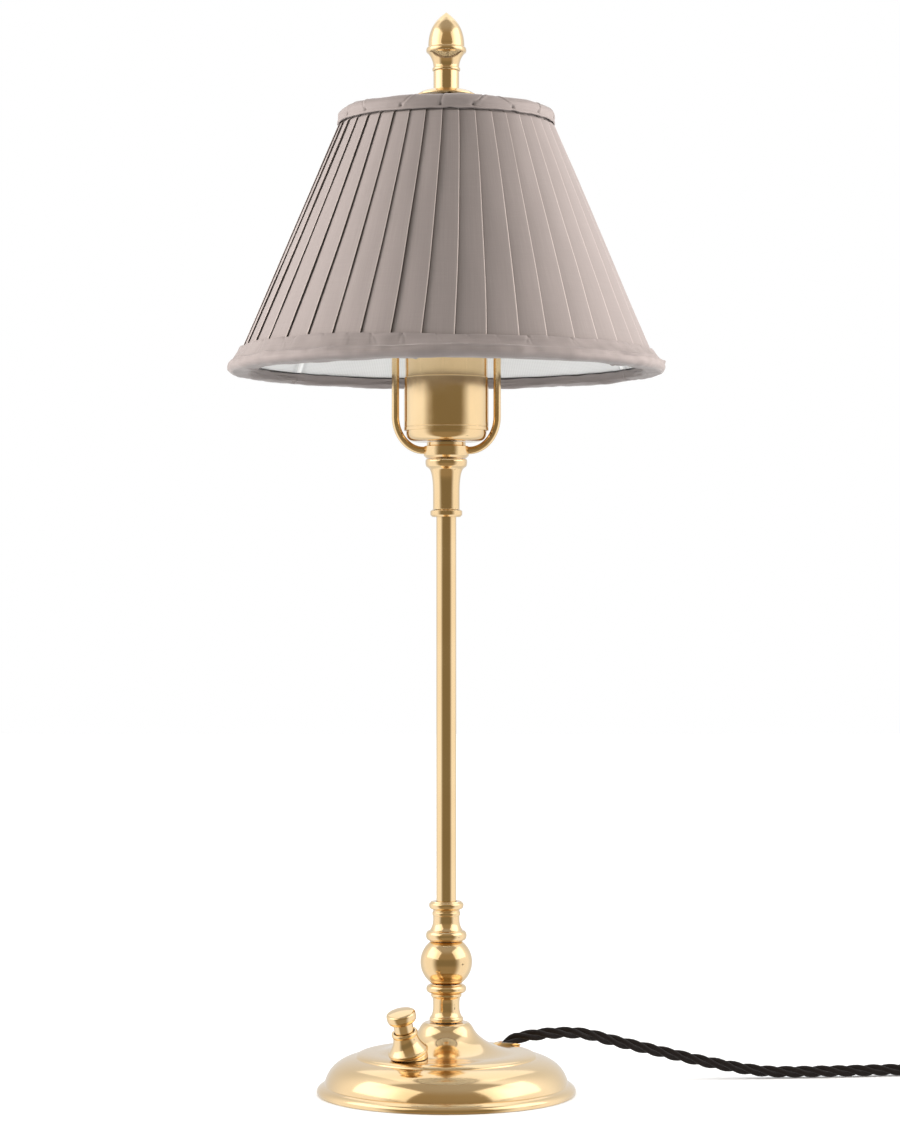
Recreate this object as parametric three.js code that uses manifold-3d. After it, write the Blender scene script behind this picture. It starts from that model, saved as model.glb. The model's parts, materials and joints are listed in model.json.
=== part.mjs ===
// A table lamp: a spun brass base with a push switch, a turned stem, a lampholder inside a wire
// harp, a shade with a knife-pleated cover, a finial, and a twisted cord with its plug.
// Millimetres, +Z up. The origin is on the table, on the axis of the stem. The front faces -Y.
import * as THREE from "three";
import { mergeVertices } from "three/addons/utils/BufferGeometryUtils.js";
import Module from "manifold-3d";

const wasm = await Module();
wasm.setup();

// Clearances
const seat = 0.3; // between pieces that stand on each other or pass through each other
const slip = 0.4; // between the button's stem and its guides

// Facets
const stemFacets = 16; // around the turned brass of the stem
const smallFacets = 12; // around screws, contacts and other small pieces
const holderFacets = 18; // around the lampholder
const shadeFacets = 32; // around the shade's rings, trims and lining
const baseFacets = 30; // around the base
const wireSides = 8; // around the harp and the rings
const thinWireSides = 6; // around the struts

// Base: felt, plate, weight and spun shell
const feltThickness = 1.4;
const plateThickness = 1.5;
const plateInset = 1.5; // from the wall of the lip to the rim of the plate
const feltInset = 1.2; // from the rim of the plate to the rim of the felt
const lipRadius = 64.5; // at the foot of the rolled lip
const lipFoot = 0.4; // foot of the lip above the table
const lipSwell = 1.1; // pull on the curve that rounds the lip
const lipRise = 4.6; // foot of the lip to the crease above it
const lipStep = 3.5; // foot of the lip inwards to that crease
const bulgeRun = 15.5; // crease inwards to the notch above the bulge
const bulgeRise = 13.6; // crease up to that notch
const shoulderRun = 10; // notch inwards to where the shoulder is level
const shoulderRise = 2.5; // notch up to the same place
const coveRun = 22.2; // shoulder inwards to the neck
const coveRise = 12; // shoulder up to the neck
const neckRun = 2.7; // the neck's rounded edge, inwards
const neckRise = 2.6; // and upwards
const neckThickness = 2.2; // of the shell where the stem is clamped to it
const shellWall = 1.0;
const holeReach = 10; // how far a hole's cutter runs to each side of the shell
const slantReach = 20; // the same for the outlet's slanting hole
const castingReach = 30; // from the shell's face down through the whole casting
const weightThickness = 17; // tallest part of the casting
const weightInset = 7; // from the wall of the lip to the rim of the casting
const recessRadius = 16; // hollow under the casting, round the nut
const recessDepth = 11;
const channelWidth = 9; // under the casting, for the wires
const channelDepth = 7;
const screwCircle = 48; // radius on which the plate screws stand
const screwTurn = 95; // degrees, direction of the first plate screw
const screwCount = 3;
const screwRadius = 2;
const screwHeadRadius = 3.8;
const screwLength = 9;

// Stem
const nippleRadius = 5; // of both threaded nipples and of the tube, so they share one bore
const nippleWall = 1.2;
const nutRadius = 8.5; // across the corners
const nutHeight = 3.4;
const washerRadius = 9;
const washerThickness = 1.2;
const lowerSpindleHeight = 19;
const footBeadRadius = 8.5; // lowest bead of the stem
const waistRadius = 6.65; // of both spindles and of the coupler
const smallBeadRadius = 7.7;
const mainBeadRadius = 10.35; // widest bead of both spindles
const ballHeight = 21.3; // between its two flats
const ballRadius = 13;
const upperSpindleHeight = 20;
const topBeadRadius = 8.65; // under the tube
const visibleTube = 192; // of the tube, between the upper spindle and the coupler
const tubeSocket = 9; // of the tube, inside the upper spindle
const couplerHeight = 29;
const couplerSocket = 11; // of the tube, inside the coupler
const couplerRingRadius = 8.0;
const couplerBeadRadius = 10.5;
const flexRadius = 2.3; // of the flex inside the stem

// Push switch
const switchRadius = 31.5; // from the axis of the stem to the middle of the switch
const switchTurn = -125; // degrees from +X
const switchLean = 18; // degrees from upright, outwards
const buttonStemRadius = 4.8;
const buttonStemDepth = 6; // of the stem, below the shell
const buttonHeadRadius = 7.3;
const buttonHeadFoot = 19; // underside of the head above the shell
const buttonHeadHeight = 6.2;
const buttonTravel = 3;
const bushRadius = 6.6;
const bushHeight = 5.4; // above the shell
const ringRadius = 9.2;
const ringHeight = 2.6;
const bellRadius = 9.9;
const bellMouthRadius = 6.5;
const bellHeight = 11.4;
const switchBodyRadius = 9.8;
const switchBodyTop = 3; // below the outer face of the shell
const switchBodyDepth = 9;

// Harp
const hubRadius = 11.3;
const hubNeckRadius = 9.75;
const hubHeight = 8;
const harpWireRadius = 1.9;
const harpHalfWidth = 25.4; // axis of the stem to the middle of an arm
const harpBendRun = 14; // of the bend where each arm leaves the hub, across
const harpBendRise = 17; // of the same bend, upwards
const harpHeight = 169.6; // middle of the wire at the hub to its middle at the top
const harpSink = 4.2; // of the wire, inside the hub
const studCollarRadius = 5;
const studCollarHeight = 9;
const studRadius = 3;
const studLength = 23; // above the collar

// Lampholder and lamp
const cupRadius = 20.2;
const cupWall = 1.0;
const cupCorner = 5.2; // rounding at the foot of the cup
const cupHeight = 15;
const cupShown = 5.5; // of the cup, below the holder's shell
const holderRadius = 21.2;
const holderTopRadius = 20.7;
const holderWall = 0.7;
const holderBand = 26.7; // height of the wider band of the shell
const holderHeight = 52;
const insulatorRadius = 18.5;
const insulatorHeight = 33;
const insulatorFloor = 8;
const screwShellRadius = 13.9;
const screwShellWall = 0.4;
const screwShellHeight = 30;
const contactRadius = 4;
const contactThickness = 1.6;
const lampCapRadius = 13.1;
const lampCapHeight = 27;
const globeRadius = 22.5;
const globeWall = 1.0;
const lampNeckHeight = 4.5;

// Shade
const pleatCount = 42;
const pleatStep = 1.1; // height of one fold over the next panel
const pleatTwist = 4.5; // degrees that the foot of a fold lags behind its top
const pleatTurn = -1.95; // degrees from the front, of the fold nearest to it
const shadeHeight = 132.1;
const shadeTopRadius = 50.8; // line of the folds, carried on to the very top
const shadeBottomRadius = 107.2; // the same line at the very foot
const coverThickness = 0.9;
const topTuck = 9.1; // top of the shade to where the cover goes in under the trim
const bottomTuck = 4.6; // foot of the shade to the hidden edge of the cover
const strutCount = 6;
const strutTurn = 42; // degrees of the first strut
const strutRadius = 1.2;
const topWireRadius = 1.9;
const bottomWireRadius = 1.8;
const liningThickness = 0.6;
const topTrimHeight = 7.5;
const bottomTrimHeight = 11.2;
const bottomTrimReturn = 5.4; // foot of the shade to where the lining takes over inside the mouth
const trimThickness = 0.9;
const bottomTrimBulge = 2.4; // of the roll, beyond the line of the folds
const spiderHubRadius = 9;
const spiderHubThickness = 2.2;
const spiderDrop = 8.8; // middle of the hub down to the middle of the top ring
const spiderArms = 3;
const spiderArmRadius = 1.6;

// Cap and finial
const capRadius = 15;
const capHeight = 3.2;
const capEdge = 0.8;
const finialNeckRadius = 6.42;
const finialNeckHeight = 9;
const finialBeadHeight = 1.9;
const finialFlare = 7.3; // height from the neck's bead to the ring
const finialRingRadius = 10.04;
const finialRingHeight = 2.9;
const finialShoulder = 9.07;
const finialDomeHeight = 17.5;

// Cord, outlet and plug
const cordRadius = 3.1;
const cordEndInside = 5.5; // of the cord, inside the outlet
const cordStraight = 5; // of the cord, past the middle of the outlet, before it bends
const cordRest = 3.15; // height of the cord's middle on the table
const outletWall = 0.8;
const outletProud = 1.1; // of the outlet's rim, above the shell
const outletInside = 9; // length of the outlet, below the shell
const outletRadius = 39.6; // from the axis of the stem
const outletTurn = 38; // degrees from +X
const outletLift = 0.3; // middle of the cord above the shell where it comes out
const exitTurn = 13; // degrees from +X, direction in which the cord leaves
const exitRise = 32; // degrees above level
const coilX = 283;
const coilY = 10;
const coilRadius = 47.5; // middle of the outermost turn
const coilTurns = 6.25;
const coilStep = 6.8; // from one turn to the next, and from layer to layer
const loopSteps = 24;
const loopSides = 6;
const tailLength = 38; // coil to the plug's sleeve
const plugRadius = 18;
const plugRest = 18.1; // height of the plug's axis on the table
const plugFaceLength = 10;
const plugGripLength = 27;
const plugGripRadius = 12.5;
const sleeveLength = 26;
const sleeveRadius = 6.6;
const pinRadius = 2.4;
const pinLength = 19;
const pinSpacing = 19;
const earthWidth = 5;
const earthThickness = 0.8;

const degree = Math.PI / 180;

// Helpers

// A closed mesh as a solid: corners are merged by place alone, and faces that vanish are dropped.
function solid(geometry) {
  const bare = new THREE.BufferGeometry();
  bare.setAttribute("position", geometry.getAttribute("position").clone());
  bare.setIndex(geometry.index);
  const merged = mergeVertices(bare, 1e-4);
  const corners = merged.index.array;
  const kept = [];
  for (let i = 0; i < corners.length; i += 3) {
    const [a, b, c] = corners.subarray(i, i + 3);
    if (a !== b && b !== c && c !== a) kept.push(a, b, c);
  }
  return new wasm.Manifold(
    new wasm.Mesh({
      numProp: 3,
      vertProperties: new Float32Array(merged.attributes.position.array),
      triVerts: new Uint32Array(kept),
    }),
  );
}

// A solid as a mesh's geometry again.
function surface(shape) {
  const mesh = shape.getMesh();
  const geometry = new THREE.BufferGeometry();
  const spots = new THREE.BufferAttribute(new Float32Array(mesh.vertProperties), 3);
  geometry.setAttribute("position", spots);
  geometry.setIndex(new THREE.BufferAttribute(new Uint32Array(mesh.triVerts), 1));
  geometry.computeVertexNormals();
  return geometry;
}

const finishes = {
  brass: { color: 0xc9a25e, roughness: 0.18, metalness: 1 },
  steel: { color: 0xa9abad, roughness: 0.4, metalness: 1 },
  iron: { color: 0x3a3a3b, roughness: 0.8, metalness: 0.6 },
  felt: { color: 0x23201f, roughness: 1, metalness: 0 },
  cover: { color: 0xa2948e, roughness: 0.85, metalness: 0 },
  lining: { color: 0xd9d8d6, roughness: 0.7, metalness: 0 },
  cord: { color: 0x241c1a, roughness: 0.8, metalness: 0 },
  ceramic: { color: 0xe9e6df, roughness: 0.3, metalness: 0 },
  opal: { color: 0xf3f1ea, roughness: 0.4, metalness: 0 },
  plug: { color: 0x1b1a1a, roughness: 0.5, metalness: 0 },
  nickel: { color: 0xbfbdb8, roughness: 0.25, metalness: 1 },
};

// Adds one named piece, with a material of its own, to a group.
function add(group, name, shape, finish) {
  const mesh = new THREE.Mesh(surface(shape), new THREE.MeshStandardMaterial(finishes[finish]));
  mesh.name = name;
  group.add(mesh);
  return mesh;
}

// The outline of a turned piece, as radius and height, drawn upwards from its foot.
class Outline {
  constructor(r, z) {
    this.points = [new THREE.Vector2(r, z)];
  }
  get end() {
    return this.points.at(-1);
  }
  line(r, z) {
    this.points.push(new THREE.Vector2(r, z));
    return this;
  }
  // A curve to (r, z) that is pulled towards one point, or towards two in turn.
  curve(r, z, pulls, steps) {
    const ends = [this.end, ...pulls.map(([pr, pz]) => new THREE.Vector2(pr, pz))];
    ends.push(new THREE.Vector2(r, z));
    const arc = pulls.length === 1
      ? new THREE.QuadraticBezierCurve(...ends)
      : new THREE.CubicBezierCurve(...ends);
    this.points.push(...arc.getPoints(steps).slice(1));
    return this;
  }
  // A round bead of the given height that stands proud of the outline by its swell.
  bead(height, swell, r = this.end.x) {
    const { x, y } = this.end;
    return this.curve(r, y + height, [[(x + r) / 2 + 2 * swell, y + height / 2]], 3);
  }
}

// The outline moved inwards by a wall, or outwards by a negative one.
function inset(points, wall) {
  return points.map((point, i) => {
    const before = points[Math.max(i - 1, 0)];
    const after = points[Math.min(i + 1, points.length - 1)];
    const along = after.clone().sub(before).normalize();
    return new THREE.Vector2(point.x - wall * along.y, point.y + wall * along.x);
  });
}

// A solid of revolution about the Z axis from a ring of points that ends where it began.
function revolved(points, facets) {
  return solid(new THREE.LatheGeometry(points, facets).rotateX(Math.PI / 2));
}

// A turned piece: its outline, closed at both ends on its bore, or on the axis where it has none.
function turned(outline, bore, facets = stemFacets, [x, y] = [0, 0]) {
  const points = [...outline.points];
  const foot = new THREE.Vector2(bore, points[0].y);
  points.unshift(foot);
  points.push(new THREE.Vector2(bore, points.at(-1).y));
  if (bore > 0) points.push(foot.clone());
  return solid(new THREE.LatheGeometry(points, facets).rotateX(Math.PI / 2).translate(x, y, 0));
}

// A plain round, hollow where it has a bore, from one height to another.
function round(radius, low, high, bore = 0, facets = stemFacets) {
  return turned(new Outline(radius, low).line(radius, high), bore, facets);
}

// A rod's geometry between two points.
function rodGeometry(from, to, radius, sides) {
  const run = to.clone().sub(from);
  const upright = new THREE.Vector3(0, 1, 0);
  const rod = new THREE.CylinderGeometry(radius, radius, run.length(), sides);
  rod.applyQuaternion(new THREE.Quaternion().setFromUnitVectors(upright, run.clone().normalize()));
  const middle = from.clone().add(to).multiplyScalar(0.5);
  return rod.translate(middle.x, middle.y, middle.z);
}

// A box's geometry between two corners.
function boxGeometry(low, high) {
  const box = new THREE.BoxGeometry(high[0] - low[0], high[1] - low[1], high[2] - low[2]);
  return box.translate((low[0] + high[0]) / 2, (low[1] + high[1]) / 2, (low[2] + high[2]) / 2);
}

// A closed tube through points, with a ring of corners square to the run at each of them.
function tubeThrough(points, radius, sides) {
  const spots = [];
  const faces = [];
  const across = new THREE.Vector3(0, 0, 1);
  const last = points.length - 1;
  points.forEach((point, i) => {
    const along = points[Math.min(i + 1, last)].clone().sub(points[Math.max(i - 1, 0)]).normalize();
    if (i === 0 && Math.abs(along.z) > 0.9) across.set(0, 1, 0);
    across.addScaledVector(along, -across.dot(along)).normalize();
    const third = along.clone().cross(across);
    for (let k = 0; k < sides; k++) {
      const turn = (2 * Math.PI * k) / sides;
      const corner = point.clone().addScaledVector(across, radius * Math.cos(turn));
      corner.addScaledVector(third, radius * Math.sin(turn));
      spots.push(corner.x, corner.y, corner.z);
    }
  });
  for (let i = 0; i < last; i++) {
    for (let k = 0; k < sides; k++) {
      const a = i * sides + k;
      const b = i * sides + ((k + 1) % sides);
      faces.push(a, b, b + sides, a, b + sides, a + sides);
    }
  }
  for (let k = 1; k < sides - 1; k++) {
    faces.push(0, k + 1, k);
    faces.push(last * sides, last * sides + k, last * sides + k + 1);
  }
  const geometry = new THREE.BufferGeometry();
  geometry.setAttribute("position", new THREE.Float32BufferAttribute(spots, 3));
  return geometry.setIndex(faces);
}

// A plain tube along a smooth curve.
function tubeAlong(curve, radius, sides, steps) {
  const section = new THREE.Shape();
  for (let k = 0; k < sides; k++) {
    const turn = (2 * Math.PI * (k + 0.5)) / sides;
    const spot = [radius * Math.cos(turn), radius * Math.sin(turn)];
    if (k === 0) section.moveTo(...spot);
    else section.lineTo(...spot);
  }
  section.closePath();
  return new THREE.ExtrudeGeometry(section, { steps, extrudePath: curve });
}

// A point at a radius, a direction in degrees from +X, and a height.
function polar(radius, turn, z) {
  return new THREE.Vector3(
    radius * Math.cos(turn * degree),
    radius * Math.sin(turn * degree),
    z,
  );
}

// Heights, stacked from the table up
const bore = nippleRadius + seat; // shared by all that is threaded on the stem
const plateFoot = feltThickness + seat;
const plateTop = plateFoot + plateThickness;
const weightFoot = plateTop + seat;
const creaseRadius = lipRadius - lipStep;
const creaseHeight = lipFoot + lipRise;
const notchRadius = creaseRadius - bulgeRun;
const notchHeight = creaseHeight + bulgeRise;
const shoulderRadius = notchRadius - shoulderRun;
const shoulderHeight = notchHeight + shoulderRise;
const neckRadius = shoulderRadius - coveRun;
const neckHeight = shoulderHeight + coveRise;
const shellTop = neckHeight + neckRise;
const lowerSpindleFoot = shellTop + seat;
const ballFoot = lowerSpindleFoot + lowerSpindleHeight;
const upperSpindleFoot = ballFoot + ballHeight;
const upperSpindleTop = upperSpindleFoot + upperSpindleHeight - seat;
const couplerFoot = upperSpindleTop + visibleTube;
const couplerTop = couplerFoot + couplerHeight;
const hubFoot = couplerTop + seat;
const hubTop = hubFoot + hubHeight;
const cupFoot = hubTop + seat;
const cupFloor = cupFoot + 1.3 * cupWall;
const insulatorFoot = cupFloor + nutHeight + 6;
const washerFoot = weightFoot + recessDepth - seat - washerThickness;
const baseNutFoot = washerFoot - seat - nutHeight;
const nippleFoot = baseNutFoot - 0.4;
const harpFoot = hubFoot + hubHeight / 2;
const harpTop = harpFoot + harpHeight;
const studShoulder = harpTop + studCollarHeight / 2;
const spiderFoot = studShoulder + seat;
const topRingZ = spiderFoot + spiderHubThickness / 2 - spiderDrop;
const shadeTop = topRingZ + topWireRadius + 2 * seat + trimThickness;
const shadeFoot = shadeTop - shadeHeight;
const bottomRingZ = shadeFoot + trimThickness + 2 * seat + bottomWireRadius;
const capFoot = spiderFoot + spiderHubThickness + seat;
const finialFoot = capFoot + capHeight + seat;

// Base

// The outer face of the spun shell, from the foot of its lip to its neck.
function shellOutline() {
  const lipPull = [lipRadius + lipSwell, lipFoot + 0.62 * lipRise];
  const bulgePulls = [
    [creaseRadius - 0.1 * bulgeRun, creaseHeight + 0.57 * bulgeRise],
    [creaseRadius - 0.44 * bulgeRun, creaseHeight + 0.87 * bulgeRise],
  ];
  const shoulderPull = [notchRadius - 0.09 * shoulderRun, notchHeight + 0.92 * shoulderRise];
  const covePulls = [
    [shoulderRadius - 0.38 * coveRun, shoulderHeight + 0.02 * coveRise],
    [neckRadius + 0.14 * coveRun, neckHeight - 0.54 * coveRise],
  ];
  const neckPull = [neckRadius - 0.52 * neckRun, neckHeight + 0.92 * neckRise];
  return new Outline(lipRadius, lipFoot)
    .curve(creaseRadius, creaseHeight, [lipPull], 2)
    .curve(notchRadius, notchHeight, bulgePulls, 3)
    .curve(shoulderRadius, shoulderHeight, [shoulderPull], 2)
    .curve(neckRadius, neckHeight, covePulls, 3)
    .curve(neckRadius - neckRun, shellTop, [neckPull], 2);
}

// Height of the shell's outer face at a radius on its cove.
function shellHeightAt(radius) {
  const points = shellOutline().points;
  const i = points.findIndex((point, k) => k > 0 && point.x <= radius && points[k - 1].x > radius);
  const [low, high] = [points[i - 1], points[i]];
  return low.y + ((low.x - radius) / (low.x - high.x)) * (high.y - low.y);
}

// All that lies under the shell's face moved out by a gap, down to the table, as a geometry.
function formUnder(gap, ceiling = Infinity, facets = baseFacets) {
  const points = inset(shellOutline().points, -gap).filter((point) => point.y < ceiling);
  const ring = [new THREE.Vector2(0, 0), new THREE.Vector2(points[0].x, 0), ...points];
  ring.push(new THREE.Vector2(0, points.at(-1).y));
  return new THREE.LatheGeometry(ring, facets).rotateX(Math.PI / 2);
}

// A place whose Z axis points along a direction.
function placed(spot, axis) {
  const turn = new THREE.Quaternion().setFromUnitVectors(new THREE.Vector3(0, 0, 1), axis);
  return new THREE.Matrix4().compose(spot, turn, new THREE.Vector3(1, 1, 1));
}

// Where the switch stands: its own Z axis runs out along the button's travel.
const switchSpot = polar(switchRadius, switchTurn, shellHeightAt(switchRadius));
const switchAxis = polar(Math.sin(switchLean * degree), switchTurn, Math.cos(switchLean * degree));
const switchPlace = placed(switchSpot, switchAxis);

// Where the cord leaves: the outlet's own Z axis runs out along the cord.
const outletSpot = polar(outletRadius, outletTurn, shellHeightAt(outletRadius) + outletLift);
const exitAxis = polar(Math.cos(exitRise * degree), exitTurn, Math.sin(exitRise * degree));
const outletPlace = placed(outletSpot, exitAxis);
const outletBore = cordRadius + slip;

// Where the flex goes down through the casting, behind the inner end of the outlet.
const wellSpot = outletSpot.clone().addScaledVector(exitAxis, -outletInside - channelWidth / 2);

// A plain round at a place, as a cutter.
function cutterAt(place, radius, low, high, facets = smallFacets) {
  const cylinder = new THREE.CylinderGeometry(radius, radius, high - low, facets);
  cylinder.rotateX(Math.PI / 2).translate(0, 0, (low + high) / 2);
  return solid(cylinder.applyMatrix4(place));
}

function baseShell() {
  const outer = shellOutline().points;
  const ceiling = shellTop - neckThickness;
  const under = inset(outer, shellWall).filter((point) => point.y < ceiling - 1).reverse();
  const points = [
    ...outer,
    new THREE.Vector2(bore, shellTop),
    new THREE.Vector2(bore, ceiling),
    new THREE.Vector2(under[0].x, ceiling),
    ...under,
    outer[0].clone(),
  ];
  return revolved(points, baseFacets)
    .subtract(cutterAt(switchPlace, bushRadius + seat, -holeReach, holeReach, stemFacets))
    .subtract(cutterAt(outletPlace, outletBore + outletWall + seat, -slantReach, slantReach, stemFacets));
}

// A channel under the casting, from the middle out to a spot.
function channelTo(spot) {
  const reach = Math.hypot(spot.x, spot.y);
  const side = channelWidth / 2;
  const box = boxGeometry([0, -side, 0], [reach, side, weightFoot + channelDepth]);
  return solid(box.rotateZ(Math.atan2(spot.y, spot.x)));
}

function baseWeight() {
  const rim = lipRadius - shellWall - weightInset;
  const top = weightFoot + weightThickness;
  const hollow = solid(formUnder(-shellWall - 2 * seat, shellTop - neckThickness - 2, holderFacets));
  const well = new THREE.Matrix4().makeTranslation(wellSpot.x, wellSpot.y, 0);
  let casting = round(rim, weightFoot, top, bore, holderFacets)
    .intersect(hollow)
    .subtract(round(recessRadius, 0, weightFoot + recessDepth))
    .subtract(cutterAt(switchPlace, switchBodyRadius + 2, -castingReach, holeReach))
    .subtract(cutterAt(outletPlace, outletBore + outletWall + 1, -outletInside - 4, holeReach))
    .subtract(cutterAt(well, channelWidth / 2 + 1, 0, shellTop))
    .subtract(channelTo(switchSpot))
    .subtract(channelTo(wellSpot));
  for (const spot of screwSpots()) {
    const place = new THREE.Matrix4().makeTranslation(spot.x, spot.y, 0);
    casting = casting.subtract(cutterAt(place, screwRadius + seat, 0, plateTop + screwLength + 1));
  }
  return casting;
}

function screwSpots() {
  const turns = Array.from({ length: screwCount }, (_, i) => screwTurn + (360 / screwCount) * i);
  return turns.map((turn) => polar(screwCircle, turn, 0));
}

// The plate, with a countersunk hole for each screw.
function basePlate() {
  let plate = round(lipRadius - shellWall - plateInset, plateFoot, plateTop, 0, baseFacets);
  const sink = new Outline(screwHeadRadius + seat, plateFoot - 1)
    .line(screwHeadRadius + seat, plateFoot)
    .line(screwRadius + seat, plateTop)
    .line(screwRadius + seat, plateTop + 1);
  for (const spot of screwSpots()) {
    plate = plate.subtract(turned(sink, 0, smallFacets, [spot.x, spot.y]));
  }
  return plate;
}

function plateScrew() {
  const outline = new Outline(screwHeadRadius, plateFoot)
    .line(screwRadius, plateTop)
    .line(screwRadius, plateTop + screwLength - 1)
    .line(screwRadius / 2, plateTop + screwLength);
  return turned(outline, 0, smallFacets);
}

// A hexagonal nut on the stem's bore.
function nut(foot) {
  return round(nutRadius, foot, foot + nutHeight, 0, 6)
    .subtract(round(bore, foot - 1, foot + nutHeight + 1));
}

function makeBase() {
  const group = new THREE.Group();
  const feltRadius = lipRadius - shellWall - plateInset - feltInset;
  const nippleTop = upperSpindleTop - tubeSocket - seat;
  const washer = round(washerRadius, washerFoot, washerFoot + washerThickness, bore, smallFacets);
  const inner = nippleRadius - nippleWall;
  const nipple = round(nippleRadius, nippleFoot, nippleTop, inner, smallFacets);
  add(group, "felt_pad", round(feltRadius, 0, feltThickness, 0, baseFacets), "felt");
  add(group, "base_plate", basePlate(), "steel");
  screwSpots().forEach((spot, i) => {
    add(group, "plate_screw_" + (i + 1), plateScrew(), "steel").position.copy(spot);
  });
  add(group, "base_weight", baseWeight(), "iron");
  add(group, "base_shell", baseShell(), "brass");
  add(group, "base_washer", washer, "steel");
  add(group, "base_nut", nut(baseNutFoot), "steel");
  add(group, "base_nipple", nipple, "steel");
  return group;
}

// Stem

// Foot bead, waist, small bead and main bead, from the shell's neck to the ball.
function lowerSpindle() {
  const foot = lowerSpindleFoot;
  const top = foot + lowerSpindleHeight - seat;
  const outline = new Outline(0.95 * footBeadRadius, foot)
    .bead(2.4, 0.06 * footBeadRadius, 0.93 * footBeadRadius)
    .curve(waistRadius, foot + 7.5, [[waistRadius, foot + 4.2]], 2)
    .line(waistRadius, foot + 10.4)
    .bead(2.8, smallBeadRadius - waistRadius, 1.05 * waistRadius)
    .line(0.83 * mainBeadRadius, foot + 14.2)
    .bead(4.2, 0.17 * mainBeadRadius)
    .line(0.8 * mainBeadRadius, top);
  return turned(outline, bore);
}

// The ball is cut flat at both ends, on its spindles.
function ballKnop() {
  const start = Math.asin(-ballHeight / 2 / ballRadius);
  const finish = Math.asin((ballHeight / 2 - seat) / ballRadius);
  const middle = ballFoot + ballHeight / 2;
  const steps = 8;
  const outline = new Outline(ballRadius * Math.cos(start), ballFoot);
  for (let i = 1; i <= steps; i++) {
    const rise = start + ((finish - start) * i) / steps;
    outline.line(ballRadius * Math.cos(rise), middle + ballRadius * Math.sin(rise));
  }
  return turned(outline, bore);
}

// Main bead, waist, small bead and top bead, from the ball to the tube.
function upperSpindle() {
  const foot = upperSpindleFoot;
  const outline = new Outline(0.8 * mainBeadRadius, foot)
    .bead(5.2, 0.19 * mainBeadRadius, 0.8 * mainBeadRadius)
    .curve(waistRadius, foot + 10.4, [[waistRadius, foot + 7.6]], 3)
    .line(waistRadius, foot + 12.4)
    .bead(2.2, 0.35 * (smallBeadRadius - waistRadius))
    .line(waistRadius, foot + 15.3)
    .line(0.88 * topBeadRadius, foot + 15.9)
    .bead(3.2, 0.11 * topBeadRadius, 0.91 * topBeadRadius)
    .line(0.88 * topBeadRadius, upperSpindleTop);
  return turned(outline, bore);
}

// Ring, long waist and bead, from the tube to the harp's hub.
function coupler() {
  const foot = couplerFoot;
  const flare = couplerHeight - 5;
  const outline = new Outline(0.88 * couplerRingRadius, foot)
    .line(couplerRingRadius, foot + 1)
    .line(couplerRingRadius, foot + 3)
    .line(waistRadius, foot + 3.9)
    .line(waistRadius, foot + 12)
    .curve(0.81 * couplerBeadRadius, foot + flare, [[waistRadius, foot + flare - 4]], 4)
    .line(0.91 * couplerBeadRadius, foot + flare + 0.9)
    .bead(couplerHeight - flare - 0.9, 0.07 * couplerBeadRadius, 0.94 * couplerBeadRadius);
  return turned(outline, bore);
}

// The flex from inside the outlet, down the casting's well and under the stem to the switch.
function baseFlex() {
  const level = plateTop + seat + flexRadius + 0.1;
  const start = outletSpot.clone().addScaledVector(exitAxis, -cordEndInside - seat);
  const mouth = outletSpot.clone().addScaledVector(exitAxis, -outletInside - 0.5);
  const along = (share, z) => new THREE.Vector3(wellSpot.x * share, wellSpot.y * share, z);
  const route = new THREE.CatmullRomCurve3([
    start,
    mouth,
    along(0.99, level + 6.5),
    along(0.93, level + 2),
    along(0.78, level),
    along(0.4, level),
    polar(4, switchTurn, level),
    polar(switchRadius - switchBodyRadius - 4, switchTurn, level),
  ]);
  return solid(tubeAlong(route, flexRadius, 6, 16));
}

function makeStem() {
  const group = new THREE.Group();
  const tubeFoot = upperSpindleTop - tubeSocket;
  const tubeTop = couplerFoot + couplerSocket;
  const inner = nippleRadius - nippleWall;
  const nippleTop = cupFloor + seat + nutHeight + 1;
  add(group, "lower_spindle", lowerSpindle(), "brass");
  add(group, "ball_knop", ballKnop(), "brass");
  add(group, "upper_spindle", upperSpindle(), "brass");
  add(group, "stem_tube", round(nippleRadius, tubeFoot, tubeTop, inner), "brass");
  add(group, "stem_coupler", coupler(), "brass");
  add(group, "top_nipple", round(nippleRadius, tubeTop + seat, nippleTop, inner, smallFacets), "steel");
  add(group, "base_flex", baseFlex(), "cord");
  add(group, "stem_flex", round(flexRadius, nippleFoot, insulatorFoot - seat, 0, 6), "cord");
  return group;
}

// Push switch, in the frame of its own axis, with the shell's outer face at zero

function switchRing() {
  const outline = new Outline(ringRadius, -6)
    .line(ringRadius, ringHeight - 0.8)
    .line(ringRadius - 0.8, ringHeight);
  const shell = solid(formUnder(seat).applyMatrix4(switchPlace.clone().invert()));
  return turned(outline, bushRadius + seat).subtract(shell);
}

// The bell has a wide bore that screws on the bush, and a narrow one that guides the stem.
function switchCollar() {
  const foot = ringHeight + seat;
  const top = foot + bellHeight;
  const pulls = [
    [0.81 * bellRadius, foot + 0.3 * bellHeight],
    [0.94 * bellMouthRadius, foot + 0.49 * bellHeight],
  ];
  const outline = new Outline(bellRadius - 0.5, foot)
    .line(bellRadius, foot + 0.6)
    .line(bellRadius, foot + 1.4)
    .curve(0.93 * bellMouthRadius, top - 2, pulls, 4)
    .bead(2, 0.07 * bellMouthRadius);
  return turned(outline, buttonStemRadius + slip)
    .subtract(round(bushRadius + seat, foot - 1, bushHeight + seat));
}

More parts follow.
